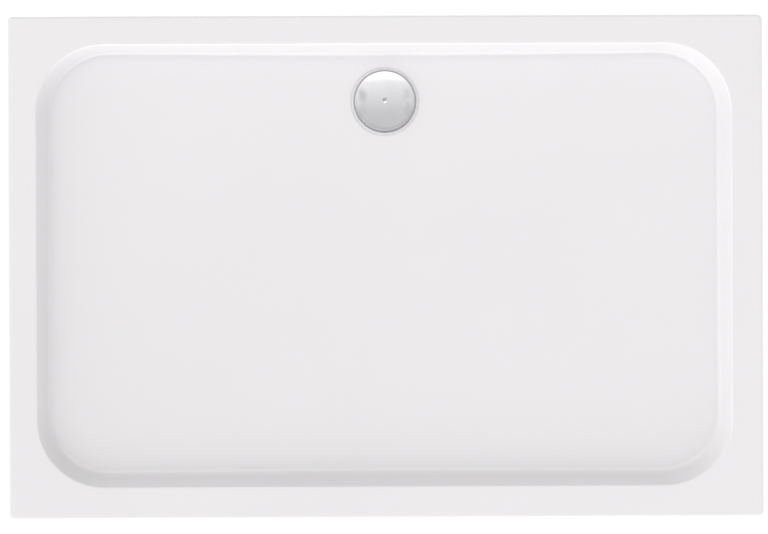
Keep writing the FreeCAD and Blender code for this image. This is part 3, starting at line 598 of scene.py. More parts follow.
MAKERS = {
    "acrylic": acrylic,
    "laminate": laminate,
    "resin": cast_resin,
    "board": chipboard,
    "galvanised": galvanised,
    "zinc": zinc_plate,
    "stainless": stainless,
    "chrome": chrome,
    "white_plastic": white_plastic,
    "grey_plastic": grey_plastic,
    "black_plastic": black_plastic,
    "rubber": rubber,
    "floor": pale_floor,
}


# ---- meshes
SEAM = 1e-7  # points of a new surface that are closer than this are one
CAD_SEAM = 2e-6  # the same for a copy of a CAD mesh
FLAT = math.radians(0.4)  # faces that turn less than this are one flat face


def quads(grid, start=0, round_rows=False, round_columns=True, shift=0):
    """Four-sided faces between neighbouring points of a grid, as indices that begin at `start`.

    round_columns joins the last column to the first, `shift` rows further on, and round_rows
    joins the last row to the first.
    """
    rows, columns = grid.shape[:2]
    index = np.arange(rows * columns).reshape(rows, columns) + start
    if round_columns:
        index = np.concatenate([index[: rows - shift], index[shift:, :1]], axis=1)
    if round_rows:
        index = np.concatenate([index, index[:1]])
    corners = [index[:-1, :-1], index[:-1, 1:], index[1:, 1:], index[1:, :-1]]
    return np.stack(corners, axis=-1).reshape(-1, 4)


def surface(name, *sheets):
    """An object from grids of points, each given with the options of quads()."""
    points, faces, start = [], [], 0
    for grid, options in sheets:
        points.append(grid.reshape(-1, 3))
        faces.append(quads(grid, start, **options))
        start += len(points[-1])
    points, faces = np.concatenate(points), np.concatenate(faces)
    mesh = bpy.data.meshes.new(name)
    mesh.vertices.add(len(points))
    mesh.vertices.foreach_set("co", points.astype(np.float32).ravel())
    mesh.loops.add(faces.size)
    mesh.loops.foreach_set("vertex_index", faces.ravel().astype(np.int32))
    mesh.polygons.add(len(faces))
    mesh.polygons.foreach_set("loop_start", np.arange(0, faces.size, 4, dtype=np.int32))
    mesh.update(calc_edges=True)
    bm = bmesh.new()
    bm.from_mesh(mesh)
    bmesh.ops.remove_doubles(bm, verts=bm.verts, dist=SEAM)
    bmesh.ops.recalc_face_normals(bm, faces=bm.faces)
    bm.to_mesh(mesh)
    bm.free()
    return linked(name, mesh)


def linked(name, data):
    """An object of some data, in the scene."""
    obj = bpy.data.objects.new(name, data)
    bpy.context.scene.collection.objects.link(obj)
    return obj


def smooth(obj, degrees=28.0):
    """Smooth shading, with edges sharper than the angle kept crisp."""
    obj.data.polygons.foreach_set("use_smooth", np.ones(len(obj.data.polygons), bool))
    obj.data.set_sharp_from_angle(angle=math.radians(degrees))
    return obj


def swept(start, end, sweep, share):
    """Points on an arc from start to end, both seen from its centre, at shares of its sweep.

    Each is (sin((1 - share) sweep) start + sin(share sweep) end) / sin(sweep).
    """
    return (np.sin((1 - share) * sweep) * start + np.sin(share * sweep) * end) / np.sin(sweep)


def rounded(corners, steps=5, closed=False):
    """A line through (x, y, radius) corners, each rounded by an arc of its radius.

    An arc starts and ends at radius times the tangent of half the turn from its corner, held to
    the share `most` of either side. One more point stands beyond each end of it, at `beyond`
    times that way from the corner, which keeps flats flat.
    """
    most, beyond = 0.47, 1.06
    spots = np.array([corner[:2] for corner in corners], float)
    count = len(spots)
    line = []
    for i, here in enumerate(spots):
        radius = corners[i][2]
        if radius == 0 or not (closed or 0 < i < count - 1):
            line.append(here[None])
            continue
        back = spots[i - 1] - here
        ahead = spots[(i + 1) % count] - here
        back_length, ahead_length = np.linalg.norm(back), np.linalg.norm(ahead)
        back, ahead = back / back_length, ahead / ahead_length
        half = math.acos(float(np.clip(back @ ahead, -1, 1))) / 2
        reach = min(radius / math.tan(half), most * back_length, most * ahead_length)
        bisector = (back + ahead) / np.linalg.norm(back + ahead)
        centre = here + bisector * reach / math.cos(half)
        start, end = here + back * reach - centre, here + ahead * reach - centre
        arc = swept(start, end, math.pi - 2 * half, np.linspace(0, 1, steps + 1)[:, None])
        line += [here + back * beyond * reach, centre + arc, here + ahead * beyond * reach]
    return np.concatenate([np.atleast_2d(part) for part in line])


def arc_line(centre, radius, first, last, steps=16):
    """Points of (radius, height) on a circle about (0, centre), from one height to another."""
    height = np.linspace(first, last, steps)
    return np.stack([np.sqrt(radius**2 - (height - centre) ** 2), height], axis=-1)


def around_axis(radius, height, centre, axis="Z", steps=None):
    """Grid of points that go round an axis through `centre`.

    A point stands at centre plus its radius times (cosine, sine) across the axis, plus its height
    along the axis. radius has one row per height, and one column or one per step.
    """
    steps = steps or radius.shape[1]
    turn = np.linspace(0, 2 * math.pi, steps, endpoint=False)
    first, second = radius * np.cos(turn), radius * np.sin(turn)
    along = np.broadcast_to(height, first.shape)
    order = {"Z": (first, second, along), "X": (along, first, second)}[axis]
    return np.stack(order, axis=-1) + np.array(centre)


def turned(name, profile, centre, closed=True, axis="Z", steps=96):
    """A profile of (radius, height) points turned about an axis. A closed one joins its ends."""
    grid = around_axis(profile[:, :1], profile[:, 1:], centre, axis, steps)
    return smooth(surface(name, (grid, {"round_rows": closed})), 40)


def threaded(low, high, crest, depth, pitch, steps):
    """Radius and height of a right-hand thread about an axis, and the rows in one turn.

    The rows of a turn are the two edges of the crest and the two edges of the root. A row climbs
    by one pitch on its way round, so height is low + pitch * (row's place + column / steps - 1),
    held between low and high. Near both ends the crest sinks to the root over one pitch.
    """
    places = np.array([0.0, 0.125, 0.44, 0.69])
    is_crest = np.array([1.0, 1.0, 0.0, 0.0])
    turns = math.ceil((high - low) / pitch) + 3
    row = (np.arange(turns)[:, None] + places).reshape(-1, 1)
    height = np.clip(low + pitch * (row + np.arange(steps) / steps - 1), low, high)
    rise = np.clip(np.minimum(height - low, high - height) / pitch, 0, 1)
    radius = crest - depth + depth * rise * np.tile(is_crest, turns)[:, None]
    return radius, height, len(places)


def hexagon_reach(flats, steps):
    """Radius of a hexagon that measures `flats` across, with flats facing +X and -X, per step."""
    turn = np.linspace(0, 2 * math.pi, steps, endpoint=False)
    sixth = math.pi / 3
    return flats / 2 / np.cos((turn + sixth / 2) % sixth - sixth / 2)


def chamfered_hexagon(flats, trim, low, high, steps, rows=6):
    """Radius and height rows of a hexagonal prism whose ends are turned to a 30 degree cone.

    The radius is the least of the hexagon's, the trimmed corner's and the cone's, which starts a
    little inside the flats at each end.
    """
    corner = flats / math.sqrt(3) - trim
    start = 0.475 * flats
    cone = np.linspace(start, corner, rows)
    drop = (cone - start) * math.tan(math.radians(30))
    reach = np.minimum(hexagon_reach(flats, steps), corner)
    height = np.concatenate([low + drop, (high - drop)[::-1]])[:, None]
    radius = np.minimum(reach[None], np.concatenate([cone, cone[::-1]])[:, None])
    return radius, height


def copy_of(node, name):
    """A welded copy of a CAD node's mesh, with flat regions joined and curved ones smooth."""
    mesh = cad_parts[node].data.copy()
    bm = bmesh.new()
    bm.from_mesh(mesh)
    bmesh.ops.remove_doubles(bm, verts=bm.verts, dist=CAD_SEAM)
    bmesh.ops.dissolve_limit(
        bm, angle_limit=FLAT, verts=bm.verts, edges=bm.edges, delimit={"NORMAL"}
    )
    bm.to_mesh(mesh)
    bm.free()
    mesh.name = name
    return smooth(linked(name, mesh))


def dress(obj, finish_name, body, *nodes):
    """Gives a piece its finish, its body and the nodes that it stands for."""
    obj.data.materials.clear()
    obj.data.materials.append(finish(finish_name))
    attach(obj, body)
    if nodes:
        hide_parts(*nodes)
    return obj


def dress_copy(node, name, finish_name, body="tray"):
    """A piece that keeps the shape of its CAD node."""
    dress(copy_of(node, name), finish_name, body, node)


# ---- tray
def outline(low_x, high_x, low_y, high_y, radius, shares):
    """Points round a rectangle with round corners, anticlockwise from the front right corner.

    shares holds, for each of the four sides, the places along it from 0 to 1. A corner is a
    quarter circle in equal steps. The same shares always give matching points.
    """
    corners = (
        (high_x - radius, low_y + radius, -90),
        (high_x - radius, high_y - radius, 0),
        (low_x + radius, high_y - radius, 90),
        (low_x + radius, low_y + radius, 180),
    )
    points = []
    for i, (x, y, turn) in enumerate(corners):
        angle = np.radians(turn + np.linspace(0, 90, CORNER_POINTS))
        arc = np.stack([x + radius * np.cos(angle), y + radius * np.sin(angle)], axis=-1)
        following = corners[(i + 1) % 4]
        onward = math.radians(following[2])
        target = np.array([math.cos(onward), math.sin(onward)]) * radius + following[:2]
        side = arc[-1] + (target - arc[-1]) * shares[i][:, None]
        points += [arc, side]
    return np.concatenate(points)


def even_places(count):
    """Places of that many points on a way from 0 to 1, in even steps and without the ends."""
    return np.linspace(0, 1, count + 2)[1:-1]


def side_shares():
    """Places along the four sides. On the back they crowd where the waste is near.

    The crowd follows the angle under which the waste sees the wall: a sum of the place itself and
    of that angle, each scaled to 1 and weighted, grows in even steps.
    """
    basin = setting("basin")
    gap = (HALF_WIDTH - basin.rim_back - basin.run_back - DRAIN.y) / HALF_LENGTH
    along = np.linspace(-1, 1, 2001)
    angle = np.arctan(along / gap)
    place, seen = (along + 1) / 2, (angle - angle[0]) / (angle[-1] - angle[0])
    crowd = 0.55
    crowded = np.interp(even_places(BACK_POINTS), (1 - crowd) * place + crowd * seen, place)
    short = even_places(SHORT_SIDE_POINTS)
    return (short, crowded, short, even_places(FRONT_POINTS))


def basin_outline(depth, grow, shares):
    """The basin's plan outline at a depth below the rim, swollen sideways by `grow`.

    Rim widths, wall runs and corner radius change in proportion to the depth.
    """
    basin = setting("basin")
    share = depth / basin.wall_drop
    radius = basin.rim_corner + (basin.floor_corner - basin.rim_corner) * share
    return outline(
        -HALF_LENGTH + basin.rim_left + basin.run_side * share - grow,
        HALF_LENGTH - basin.rim_right - basin.run_side * share + grow,
        -HALF_WIDTH + basin.rim_front + basin.run_front * share - grow,
        HALF_WIDTH - basin.rim_back - basin.run_back * share + grow,
        radius + grow,
        shares,
    )


def floor_at(away, grow):
    """Height of the falling floor: its lowest point plus the fall times the way to the waste."""
    basin = setting("basin")
    return RIM_Z - basin.drain_depth - grow + basin.floor_fall * away


def floor_height(points, grow):
    """Height of the floor under points, from their distance to the waste's axis."""
    return floor_at(np.hypot(points[..., 0] - DRAIN.x, points[..., 1] - DRAIN.y), grow)


def with_height(points, height):
    """Plan points with a height, or a height for each, as their third coordinate."""
    return np.concatenate([points, np.broadcast_to(height, points.shape[:-1])[..., None]], axis=-1)


def unit(vectors):
    """Vectors scaled to a length of 1."""
    return vectors / np.linalg.norm(vectors, axis=-1, keepdims=True)


def bend(corner, before, after, radius, steps):
    """An arc of the radius that rounds each corner between directions `before` and `after`.

    before points back along the way in and after on along the way out. Points lie on the circle
    that touches both ways, at radius times the cotangent of half their angle from the corner.
    """
    cosine = np.sum(before * after, axis=-1, keepdims=True)
    half = np.arccos(np.clip(cosine, -1, 1)) / 2
    centre = corner + unit(before + after) * radius / np.sin(half)
    start = corner + before * radius / np.tan(half) - centre
    end = corner + after * radius / np.tan(half) - centre
    return centre + swept(start, end, math.pi - 2 * half, np.linspace(0, 1, steps)[:, None, None])


def between(start, end, steps, crowd):
    """Rows between two rows, without them. crowd draws them towards both ends, from 0 to 1."""
    share = even_places(steps)
    share = (1 - crowd) * share + crowd * (1 - np.cos(math.pi * share)) / 2
    return start + (end - start) * share[:, None, None]


def recess_profile(grow):
    """Half outline of the recess and of the flat ring round it, from the waste hole to the floor."""
    basin = setting("basin")
    radius = basin.recess + grow
    slope_start = radius + basin.step_width
    slope_end = slope_start + basin.step_slope
    last = slope_end + 6 * MM
    low_z = RIM_Z - basin.drain_depth - grow
    seat_z, step_z = low_z - basin.recess_depth, low_z - basin.step_depth
    corners = [
        (basin.waste_hole, seat_z, 0),
        (radius, seat_z, 0.8 * MM),
        (radius, step_z, 0.5 * MM),
        (slope_start, step_z, 0.6 * MM),
        (slope_end, floor_at(slope_end, grow), 0.9 * MM),
        (last, floor_at(last, grow), 0),
    ]
    return rounded(corners, steps=7)


def outer_rows(grow, low_z, shares):
    """Rows of the rounded outer edge and of the skirt, down to low_z.

    The edge is a quarter circle: its inset is the radius times 1 - sine of the turn, and its drop
    the radius times 1 - cosine.
    """
    basin = setting("basin")

    def row(inset, height):
        radius = max(basin.outer_corner - inset, 0.5 * MM)
        x, y = HALF_LENGTH - inset, HALF_WIDTH - inset
        return with_height(outline(-x, x, -y, y, radius, shares), height)

    radius = max(basin.outer_edge - grow, 0.8 * MM)
    turns = np.linspace(0, math.pi / 2, EDGE_BEND_POINTS)
    insets, drops = radius * (1 - np.sin(turns)), radius * (1 - np.cos(turns))
    edge = [row(grow + inset, RIM_Z - grow - drop) for inset, drop in zip(insets, drops)]
    last = row(grow, low_z)
    return np.concatenate([edge, between(edge[-1], last, UPRIGHT_ROWS, 0.6), last[None]])


def skin(grow, low_z, shares):
    """One face of a layer of the tray, from the waste hole out over the rim to the skirt's edge.

    `grow` is the layer's depth below the finished face. Going out, the rows are the recess with
    its ring, the floor, its rounding into the leaning wall, the wall, the basin's edge, the rim,
    the outer edge and the skirt down to low_z. The floor's rounding grows from its radius to the
    front's with a soft step of the cosine between the wall's inward direction and +Y.
    """
    basin = setting("basin")
    lean = math.atan(basin.run_side / basin.wall_drop)
    side = grow / math.cos(lean)
    top = basin_outline(0, side, shares)
    foot = basin_outline(basin.wall_drop, side, shares)
    inward = unit(foot - top)
    run = np.linalg.norm(foot - top, axis=-1) / basin.wall_drop

    # where the leaning wall meets the falling floor
    depth = np.full(len(top), basin.wall_drop)
    for _ in range(4):
        meeting = top + inward * (run * depth)[:, None]
        depth = RIM_Z - floor_height(meeting, grow)
    corner = with_height(meeting, RIM_Z - depth)
    up_wall = unit(np.concatenate([-inward * run[:, None], np.ones((len(run), 1))], axis=-1))
    fall = floor_height(meeting + inward * MM, grow) - floor_height(meeting, grow)
    over_floor = unit(np.concatenate([inward * MM, fall[:, None]], axis=-1))
    facing = np.clip(inward[:, 1:], 0, 1)
    front = facing * facing * (3 - 2 * facing)
    fillet = basin.floor_fillet + (basin.front_fillet - basin.floor_fillet) * front + grow
    foot_bend = bend(corner, over_floor, up_wall, fillet, FOOT_BEND_POINTS)

    rim_edge = with_height(top, RIM_Z - grow)
    edge_radius = max(basin.basin_edge - grow, 1.2 * MM)
    outward = np.concatenate([-inward, np.zeros((len(run), 1))], axis=-1)
    edge_bend = bend(rim_edge, -up_wall, outward, edge_radius, EDGE_BEND_POINTS)

    from_waste = unit(foot_bend[0][:, :2] - np.array(DRAIN[:2]))
    recess = [
        with_height(from_waste * radius + np.array(DRAIN[:2]), height)
        for radius, height in recess_profile(grow)
    ]
    floor_rows = between(recess[-1], foot_bend[0], FLOOR_ROWS, 0.5)
    floor_rows[..., 2] = floor_height(floor_rows, grow)
    wall_rows = between(foot_bend[-1], edge_bend[0], UPRIGHT_ROWS, 0.6)
    outer = outer_rows(grow, low_z, shares)
    rim_rows = between(edge_bend[-1], outer[0], RIM_ROWS, 0.7)
    return np.concatenate([recess, floor_rows, foot_bend, wall_rows, edge_bend, rim_rows, outer])


def layer(name, upper_grow, lower_grow, low_z):
    """A closed layer of the tray: its upper skin and, back again, its lower skin."""
    shares = side_shares()
    upper = skin(upper_grow, low_z, shares)
    lower = skin(lower_grow, low_z, shares)[::-1]
    grid = np.concatenate([upper, lower])
    return smooth(surface(name, (grid, {"round_rows": True})), 40)


class TRAY_OT_acrylic(bpy.types.Operator):
    """Makes the moulded acrylic tray"""

    bl_idname = "tray.acrylic"
    bl_label = "Acrylic tray"

    def execute(self, context):
        piece = layer("acrylic_tray", 0.0, setting("basin").shell, SKIRT_Z)
        dress(piece, "acrylic", "tray", "tray_shell")
        return {"FINISHED"}


class TRAY_OT_laminate(bpy.types.Operator):
    """Makes the glass-fibre laminate under the acrylic"""

    bl_idname = "tray.laminate"
    bl_label = "Laminate"

    def execute(self, context):
        basin = setting("basin")
        low_z = SKIRT_Z + basin.laminate_up
        piece = layer("laminate_skin", basin.shell, basin.shell + basin.laminate, low_z)
        dress(piece, "laminate", "tray", "laminate_backing")
        return {"FINISHED"}


class TRAY_OT_base(bpy.types.Operator):
    """Makes the resin bed and the chipboard base"""

    bl_idname = "tray.base"
    bl_label = "Resin and board"

    def execute(self, context):
        dress_copy("resin_bed", "resin_wedge", "resin")
        dress_copy("base_board", "chipboard_base", "board")
        return {"FINISHED"}


# ---- levelling frame
class TRAY_OT_rails(bpy.types.Operator):
    """Makes the rails and their screws"""

    bl_idname = "tray.rails"
    bl_label = "Rails"

    def execute(self, context):
        for node in ("rail_left", "rail_right", "rail_centre"):
            dress_copy(node, node + "_sheet", "galvanised")
        dress_copy("rail_screws", "pan_head_screws", "zinc")
        return {"FINISHED"}


def nut_grid(place, low, high):
    """A nut as one closed grid: up its bore, over its top, down its six sides, over its foot.

    The bore is opened by a small countersink at both ends.
    """
    foot = setting("foot")
    steps = 72
    sink = 0.5 * MM
    bore = np.array([[sink, low], [0, low + sink], [0, high - sink], [sink, high]])
    radius, height = chamfered_hexagon(foot.nut, foot.nut_trim, low, high, steps)
    bore_radius = np.broadcast_to(foot.nut_bore + bore[:, :1], (4, steps))
    radius = np.concatenate([bore_radius, radius[::-1]])
    height = np.concatenate([bore[:, 1:], height[::-1]])
    return around_axis(radius, height, (place.x, place.y, 0)), {"round_rows": True}


class TRAY_OT_nuts(bpy.types.Operator):
    """Makes the nuts and lock nuts on the levelling feet"""

    bl_idname = "tray.nuts"
    bl_label = "Nuts"

    def execute(self, context):
        for node, name in (("rail_nuts", "welded_nuts"), ("lock_nuts", "thin_lock_nuts")):
            low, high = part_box(node)
            places = [middle(f"foot_stud_{number}") for number in FEET]
            nuts = surface(name, *[nut_grid(place, low.z, high.z) for place in places])
            dress(smooth(nuts), "zinc", "tray", node)
        return {"FINISHED"}


def stud(name, node):
    """A threaded stud: plain end, hexagonal collar and a right-hand thread up to its top."""
    foot = setting("foot")
    low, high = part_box(node)
    centre = ((low.x + high.x) / 2, (low.y + high.y) / 2, 0)
    steps = 36
    collar_z = low.z + foot.journal_height
    thread_z = collar_z + foot.collar_height
    root = foot.stud - foot.thread_depth
    hexagon, height = chamfered_hexagon(foot.collar, 0.0, collar_z, thread_z, steps)
    chamfer = 0.6 * MM
    plain = [(0, low.z), (foot.journal - chamfer, low.z), (foot.journal, low.z + chamfer)]
    plain = np.array([*plain, (foot.journal, collar_z)])
    plain_radius = np.broadcast_to(plain[:, :1], (len(plain), steps))
    root_row = np.full((1, steps), root)
    body_radius = np.concatenate([plain_radius, hexagon, root_row])
    body_height = np.concatenate([plain[:, 1:], height, [[thread_z]]])
    body = around_axis(body_radius, body_height, centre)
    thread_radius, thread_height, turn_rows = threaded(
        thread_z, high.z, foot.stud, foot.thread_depth, foot.pitch, steps
    )
    thread = around_axis(thread_radius, thread_height, centre)
    cap_height = np.full((2, 1), high.z)
    cap = around_axis(np.concatenate([root_row, 0 * root_row]), cap_height, centre)
    return surface(name, (body, {}), (thread, {"shift": turn_rows}), (cap, {}))


class TRAY_OT_studs(bpy.types.Operator):
    """Makes the threaded studs of the levelling feet"""

    bl_idname = "tray.studs"
    bl_label = "Studs"

    def execute(self, context):
        for number in FEET:
            node = f"foot_stud_{number}"
            piece = smooth(stud(f"threaded_stud_{number}", node), 25)
            dress(piece, "zinc", f"foot_{number}_stud", node)
        return {"FINISHED"}


class TRAY_OT_pads(bpy.types.Operator):
    """Makes the moulded pads and their rubber soles"""

    bl_idname = "tray.pads"
    bl_label = "Pads and soles"

    def execute(self, context):
        foot = setting("foot")
        for number in FEET:
            body = f"foot_{number}_pad"
            pad, sole = f"foot_pad_{number}", f"foot_sole_{number}"
            dress_copy(pad, f"ribbed_pad_{number}", "black_plastic", body)
            place, edge = middle(sole), radius_of(sole)
            low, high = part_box(sole)
            outer = edge - foot.groove_in
            inner = outer - foot.groove_width
            groove_z = low.z + foot.groove_depth
            crisp = 0.2 * MM
            corners = [
                (0, low.z, 0),
                (inner, low.z, crisp),
                (inner, groove_z, crisp),
                (outer, groove_z, crisp),
                (outer, low.z, crisp),
                (edge, low.z, 0.6 * MM),
                (edge, high.z, 0.3 * MM),
                (0, high.z, 0),
            ]
            centre = (place.x, place.y, 0)
            disc = turned(f"rubber_sole_{number}", rounded(corners), centre, closed=False)
            dress(disc, "rubber", body, sole)
        return {"FINISHED"}


# ---- waste
def cover_profile():
    """Half outline of the cover, (radius, height) points round its sheet.

    The dome is a circle tangent to the shoulder's. Its radius is (reach squared + rise squared -
    shoulder squared) / (2 (rise - shoulder)), where reach runs to the shoulder's centre. The
    dimple takes half its depth times (1 + cosine of half a turn over its radius) off the dome.
    The sheet is thicker than the shoulder, so the inner face's bend lies inside the sheet.
    """
    waste = setting("waste")
    low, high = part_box("drain_cover")
    edge = radius_of("drain_cover")
    lip_z = low.z + waste.cover_lip
    shoulder = waste.cover_shoulder
    reach, rise = edge - shoulder, high.z - lip_z
    dome = (reach**2 + rise**2 - shoulder**2) / (2 * (rise - shoulder))
    dome_z = high.z - dome
    meeting = math.atan2(lip_z - dome_z, reach)

    def arc(centre, radius, turn):
        """Points at centre plus the radius times (cosine, sine) of each turn."""
        return np.stack([np.cos(turn), np.sin(turn)], -1) * radius + np.array(centre)

    def face(drop, dimple):
        """The sheet's face at a depth below its outer one: lip, shoulder and dome."""
        lip = np.array([[edge - drop, low.z], [edge - drop, lip_z - 0.3 * MM]])
        over_shoulder = arc((reach, lip_z), shoulder - drop, np.linspace(0, meeting, 14))
        top = arc((0, dome_z), dome - drop, np.linspace(meeting, math.pi / 2, 64)[1:])
        if dimple:
            near = np.linspace(waste.dimple * 1.3, 0, 24)
            sunk = 1 + np.cos(math.pi * np.clip(near / waste.dimple, 0, 1))
            level = dome_z + np.sqrt((dome - drop) ** 2 - near**2) - waste.dimple_depth * sunk / 2
            top = top[top[:, 0] > near[0] * 1.1]
            top = np.concatenate([top, np.stack([near, level], -1)])
        return np.concatenate([lip, over_shoulder, top])

    return np.concatenate([face(0, True), face(waste.cover_sheet, False)[::-1]])


class TRAY_OT_cover(bpy.types.Operator):
    """Makes the domed cover and its hub"""

    bl_idname = "tray.cover"
    bl_label = "Waste cover"

    def execute(self, context):
        cap = turned("waste_cover", cover_profile(), DRAIN_AXIS, steps=144)
        dress(cap, "chrome", "cover", "drain_cover")
        dress_copy("cover_hub", "hub_of_cover", "grey_plastic", "cover")
        return {"FINISHED"}


class TRAY_OT_flange(bpy.types.Operator):
    """Makes the clamping flange and its screws"""

    bl_idname = "tray.flange"
    bl_label = "Waste flange"

    def execute(self, context):
        dress_copy("waste_flange", "clamping_flange", "stainless")
        dress_copy("flange_screws", "slotted_screws", "stainless")
        return {"FINISHED"}


class TRAY_OT_seals(bpy.types.Operator):
    """Makes the two gaskets at the waste hole and the seal behind the outlet's ball"""

    bl_idname = "tray.seals"
    bl_label = "Gaskets and seal"

    def execute(self, context):
        hole = setting("basin").waste_hole
        for node in ("flange_gasket", "body_gasket"):
            low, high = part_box(node)
            outer, bulge = radius_of(node), 0.4 * MM
            corners = [
                (hole, low.z, bulge),
                (outer, low.z, bulge),
                (outer, high.z, bulge),
                (hole, high.z, bulge),
            ]
            profile = rounded(corners, 3, closed=True)
            dress(turned(node + "_ring", profile, DRAIN_AXIS), "rubber", "tray", node)
        dress_copy("outlet_seal", "ball_seal", "rubber")
        return {"FINISHED"}


class TRAY_OT_trap(bpy.types.Operator):
    """Makes the trap's bowl and the thread on its stub"""

    bl_idname = "tray.trap"
    bl_label = "Trap body"

    def execute(self, context):
        waste = setting("waste")
        dress_copy("trap_body", "trap_bowl", "white_plastic")
        nut_gap, root_below, wall, steps = 0.2 * MM, 0.1 * MM, 1.0 * MM, 96
        start = waste.stub_thread_from
        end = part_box("union_nut")[0].x - nut_gap
        crest = waste.stub + waste.stub_thread
        depth = waste.stub_thread + root_below
        radius, along, turn_rows = threaded(start, end, crest, depth, waste.stub_pitch, steps)
        outside = around_axis(radius, along, OUTLET_AXIS, "X")
        inner = np.array([[0.0, start], [wall, start], [wall, end], [0.0, end]])
        inner_radius = np.broadcast_to(crest - depth - inner[:, :1], (len(inner), steps))
        back = around_axis(inner_radius, inner[:, 1:], OUTLET_AXIS, "X")
        ridge = surface("stub_thread", (outside, {"shift": turn_rows}), (back, {}))
        dress(smooth(ridge, 35), "white_plastic", "tray")
        return {"FINISHED"}


def ball_pipe_profile(waste, ball_x, end_x):
    """Half outline of the ball-ended pipe, as (radius, height along X) points."""
    back = ball_x - waste.ball_cut
    bore = waste.pipe - waste.pipe_wall
    meeting = ball_x + math.sqrt(waste.ball**2 - waste.pipe**2)
    ball = arc_line(ball_x, waste.ball, back, meeting, 40)
    chamfer = 1.5 * MM
    pipe = [(waste.pipe, end_x - chamfer), (waste.pipe - chamfer, end_x), (bore, end_x)]
    return np.concatenate([ball, pipe, [(bore, back)]])


def union_nut_grid(waste, low_x, high_x, steps=180):
    """The union nut as one closed grid round X.

    Outside, the radius is the body's, raised to the grips' by a soft step of the angle from the
    nearest grip's middle. Inside, it follows the stub, the ball and the opening for the pipe. A
    grip's foot and flank are shares of the way from one grip to the next.
    """
    ball_x = low_x + waste.nut_back
    hollow = waste.ball + waste.ball_gap
    stub_end = ball_x - 0.7 * MM
    bore = waste.stub + 0.1 * MM  # just over the stub's own wall
    inner = [(bore, low_x), (bore, stub_end), (hollow, stub_end)]
    inner = np.concatenate([inner, arc_line(ball_x, hollow, ball_x, high_x)])
    grip_end = ball_x + waste.grip_end
    body = waste.nut_body
    outer = np.array(
        [  # radius between the grips, place along X, share of the grips' height
            (body - 1.2 * MM, high_x, 0),
            (body, high_x - 1.2 * MM, 0),
            (body, grip_end + 0.8 * MM, 0),
            (body, grip_end - 0.6 * MM, 1),
            (body, low_x + 1.2 * MM, 1),
            (body, low_x + 0.4 * MM, 0.4),
            (body - 0.5 * MM, low_x, 0),
        ]
    )
    turn = np.linspace(0, 1, steps, endpoint=False) * waste.grips
    off = np.abs(turn - np.round(turn))
    foot, flank = 0.19, 0.07
    soft = np.clip((foot - off) / flank, 0, 1)
    soft = soft * soft * (3 - 2 * soft)
    raised = outer[:, :1] + outer[:, 2:] * soft * (waste.nut_grip - body)
    inner_radius = np.broadcast_to(inner[:, :1], (len(inner), steps))
    radius = np.concatenate([inner_radius, raised])
    along = np.concatenate([inner[:, 1:], outer[:, 1:2]])
    return around_axis(radius, along, OUTLET_AXIS, "X")


class TRAY_OT_outlet(bpy.types.Operator):
    """Makes the union nut and the outlet pipe with its ball"""

    bl_idname = "tray.outlet"
    bl_label = "Outlet"

    def execute(self, context):
        waste = setting("waste")
        low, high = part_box("union_nut")
        grid = union_nut_grid(waste, low.x, high.x)
        nut = surface("gripped_union_nut", (grid, {"round_rows": True}))
        dress(smooth(nut, 35), "white_plastic", "tray", "union_nut")
        profile = ball_pipe_profile(waste, low.x + waste.nut_back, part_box("outlet_pipe")[1].x)
        pipe = turned("ball_ended_pipe", profile, OUTLET_AXIS, axis="X")
        dress(pipe, "white_plastic", "outlet", "outlet_pipe")
        return {"FINISHED"}


def cup_profile(waste):
    """Half outline of the cup's wall, from the middle of its foot round to the inside."""
    low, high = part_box("seal_cup")
    outer, wall = radius_of("seal_cup"), waste.thin_wall
    corners = [
        (0, low.z, 0),
        (outer, low.z, waste.cup_foot),
        (outer, high.z, 0.7 * MM),
        (outer - wall, high.z, 0.7 * MM),
        (outer - wall, low.z + wall, waste.cup_foot - wall),
        (0, low.z + wall, 0),
    ]
    return rounded(corners)


def insert_profile(waste):
    """Half outline of the insert: collar with the O-ring's groove, funnel and dip tube."""
    low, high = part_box("dip_tube")
    outer = radius_of("dip_tube")
    collar_in = outer - waste.insert_wall
    bore = waste.dip - waste.thin_wall
    collar_z = high.z - waste.insert_height
    funnel_z = collar_z - waste.funnel_drop
    groove_z = high.z - waste.groove_down
    half = waste.groove_half
    corners = [
        (collar_in, high.z, 0.6 * MM),
        (collar_in, collar_z + waste.funnel_wall, 1.5 * MM),
        (bore, funnel_z + waste.thin_wall, 2.0 * MM),
        (bore, low.z, 0.6 * MM),
        (waste.dip, low.z, 0.6 * MM),
        (waste.dip, funnel_z, 1.0 * MM),
        (waste.funnel_foot, collar_z, 0),
        (outer, collar_z, 0.4 * MM),
        (outer, groove_z - half, 0.1 * MM),
        (waste.groove_floor, groove_z - half, 0),
        (waste.groove_floor, groove_z + half, 0),
        (outer, groove_z + half, 0.1 * MM),
        (outer, high.z, 0.6 * MM),
    ]
    return rounded(corners, closed=True)


class TRAY_OT_inserts(bpy.types.Operator):
    """Makes the cup, the dip tube with its O-ring, and the hair strainer"""

    bl_idname = "tray.inserts"
    bl_label = "Lift-out pieces"

    def execute(self, context):
        waste = setting("waste")
        cup = turned("water_seal_cup", cup_profile(waste), DRAIN_AXIS, closed=False)
        dress(cup, "grey_plastic", "cup", "seal_cup")
        insert = turned("dip_tube_insert", insert_profile(waste), DRAIN_AXIS)
        dress(insert, "grey_plastic", "insert", "dip_tube")
        turn = np.linspace(0, 2 * math.pi, 24, endpoint=False)
        ring_middle = radius_of("dip_tube_o_ring") - waste.ring_section
        section = np.stack([np.cos(turn), np.sin(turn)], -1) * waste.ring_section
        section += np.array([ring_middle, middle("dip_tube_o_ring").z])
        dress(turned("o_ring", section, DRAIN_AXIS), "rubber", "insert", "dip_tube_o_ring")
        dress_copy("hair_strainer", "strainer_basket", "grey_plastic", "strainer")
        return {"FINISHED"}


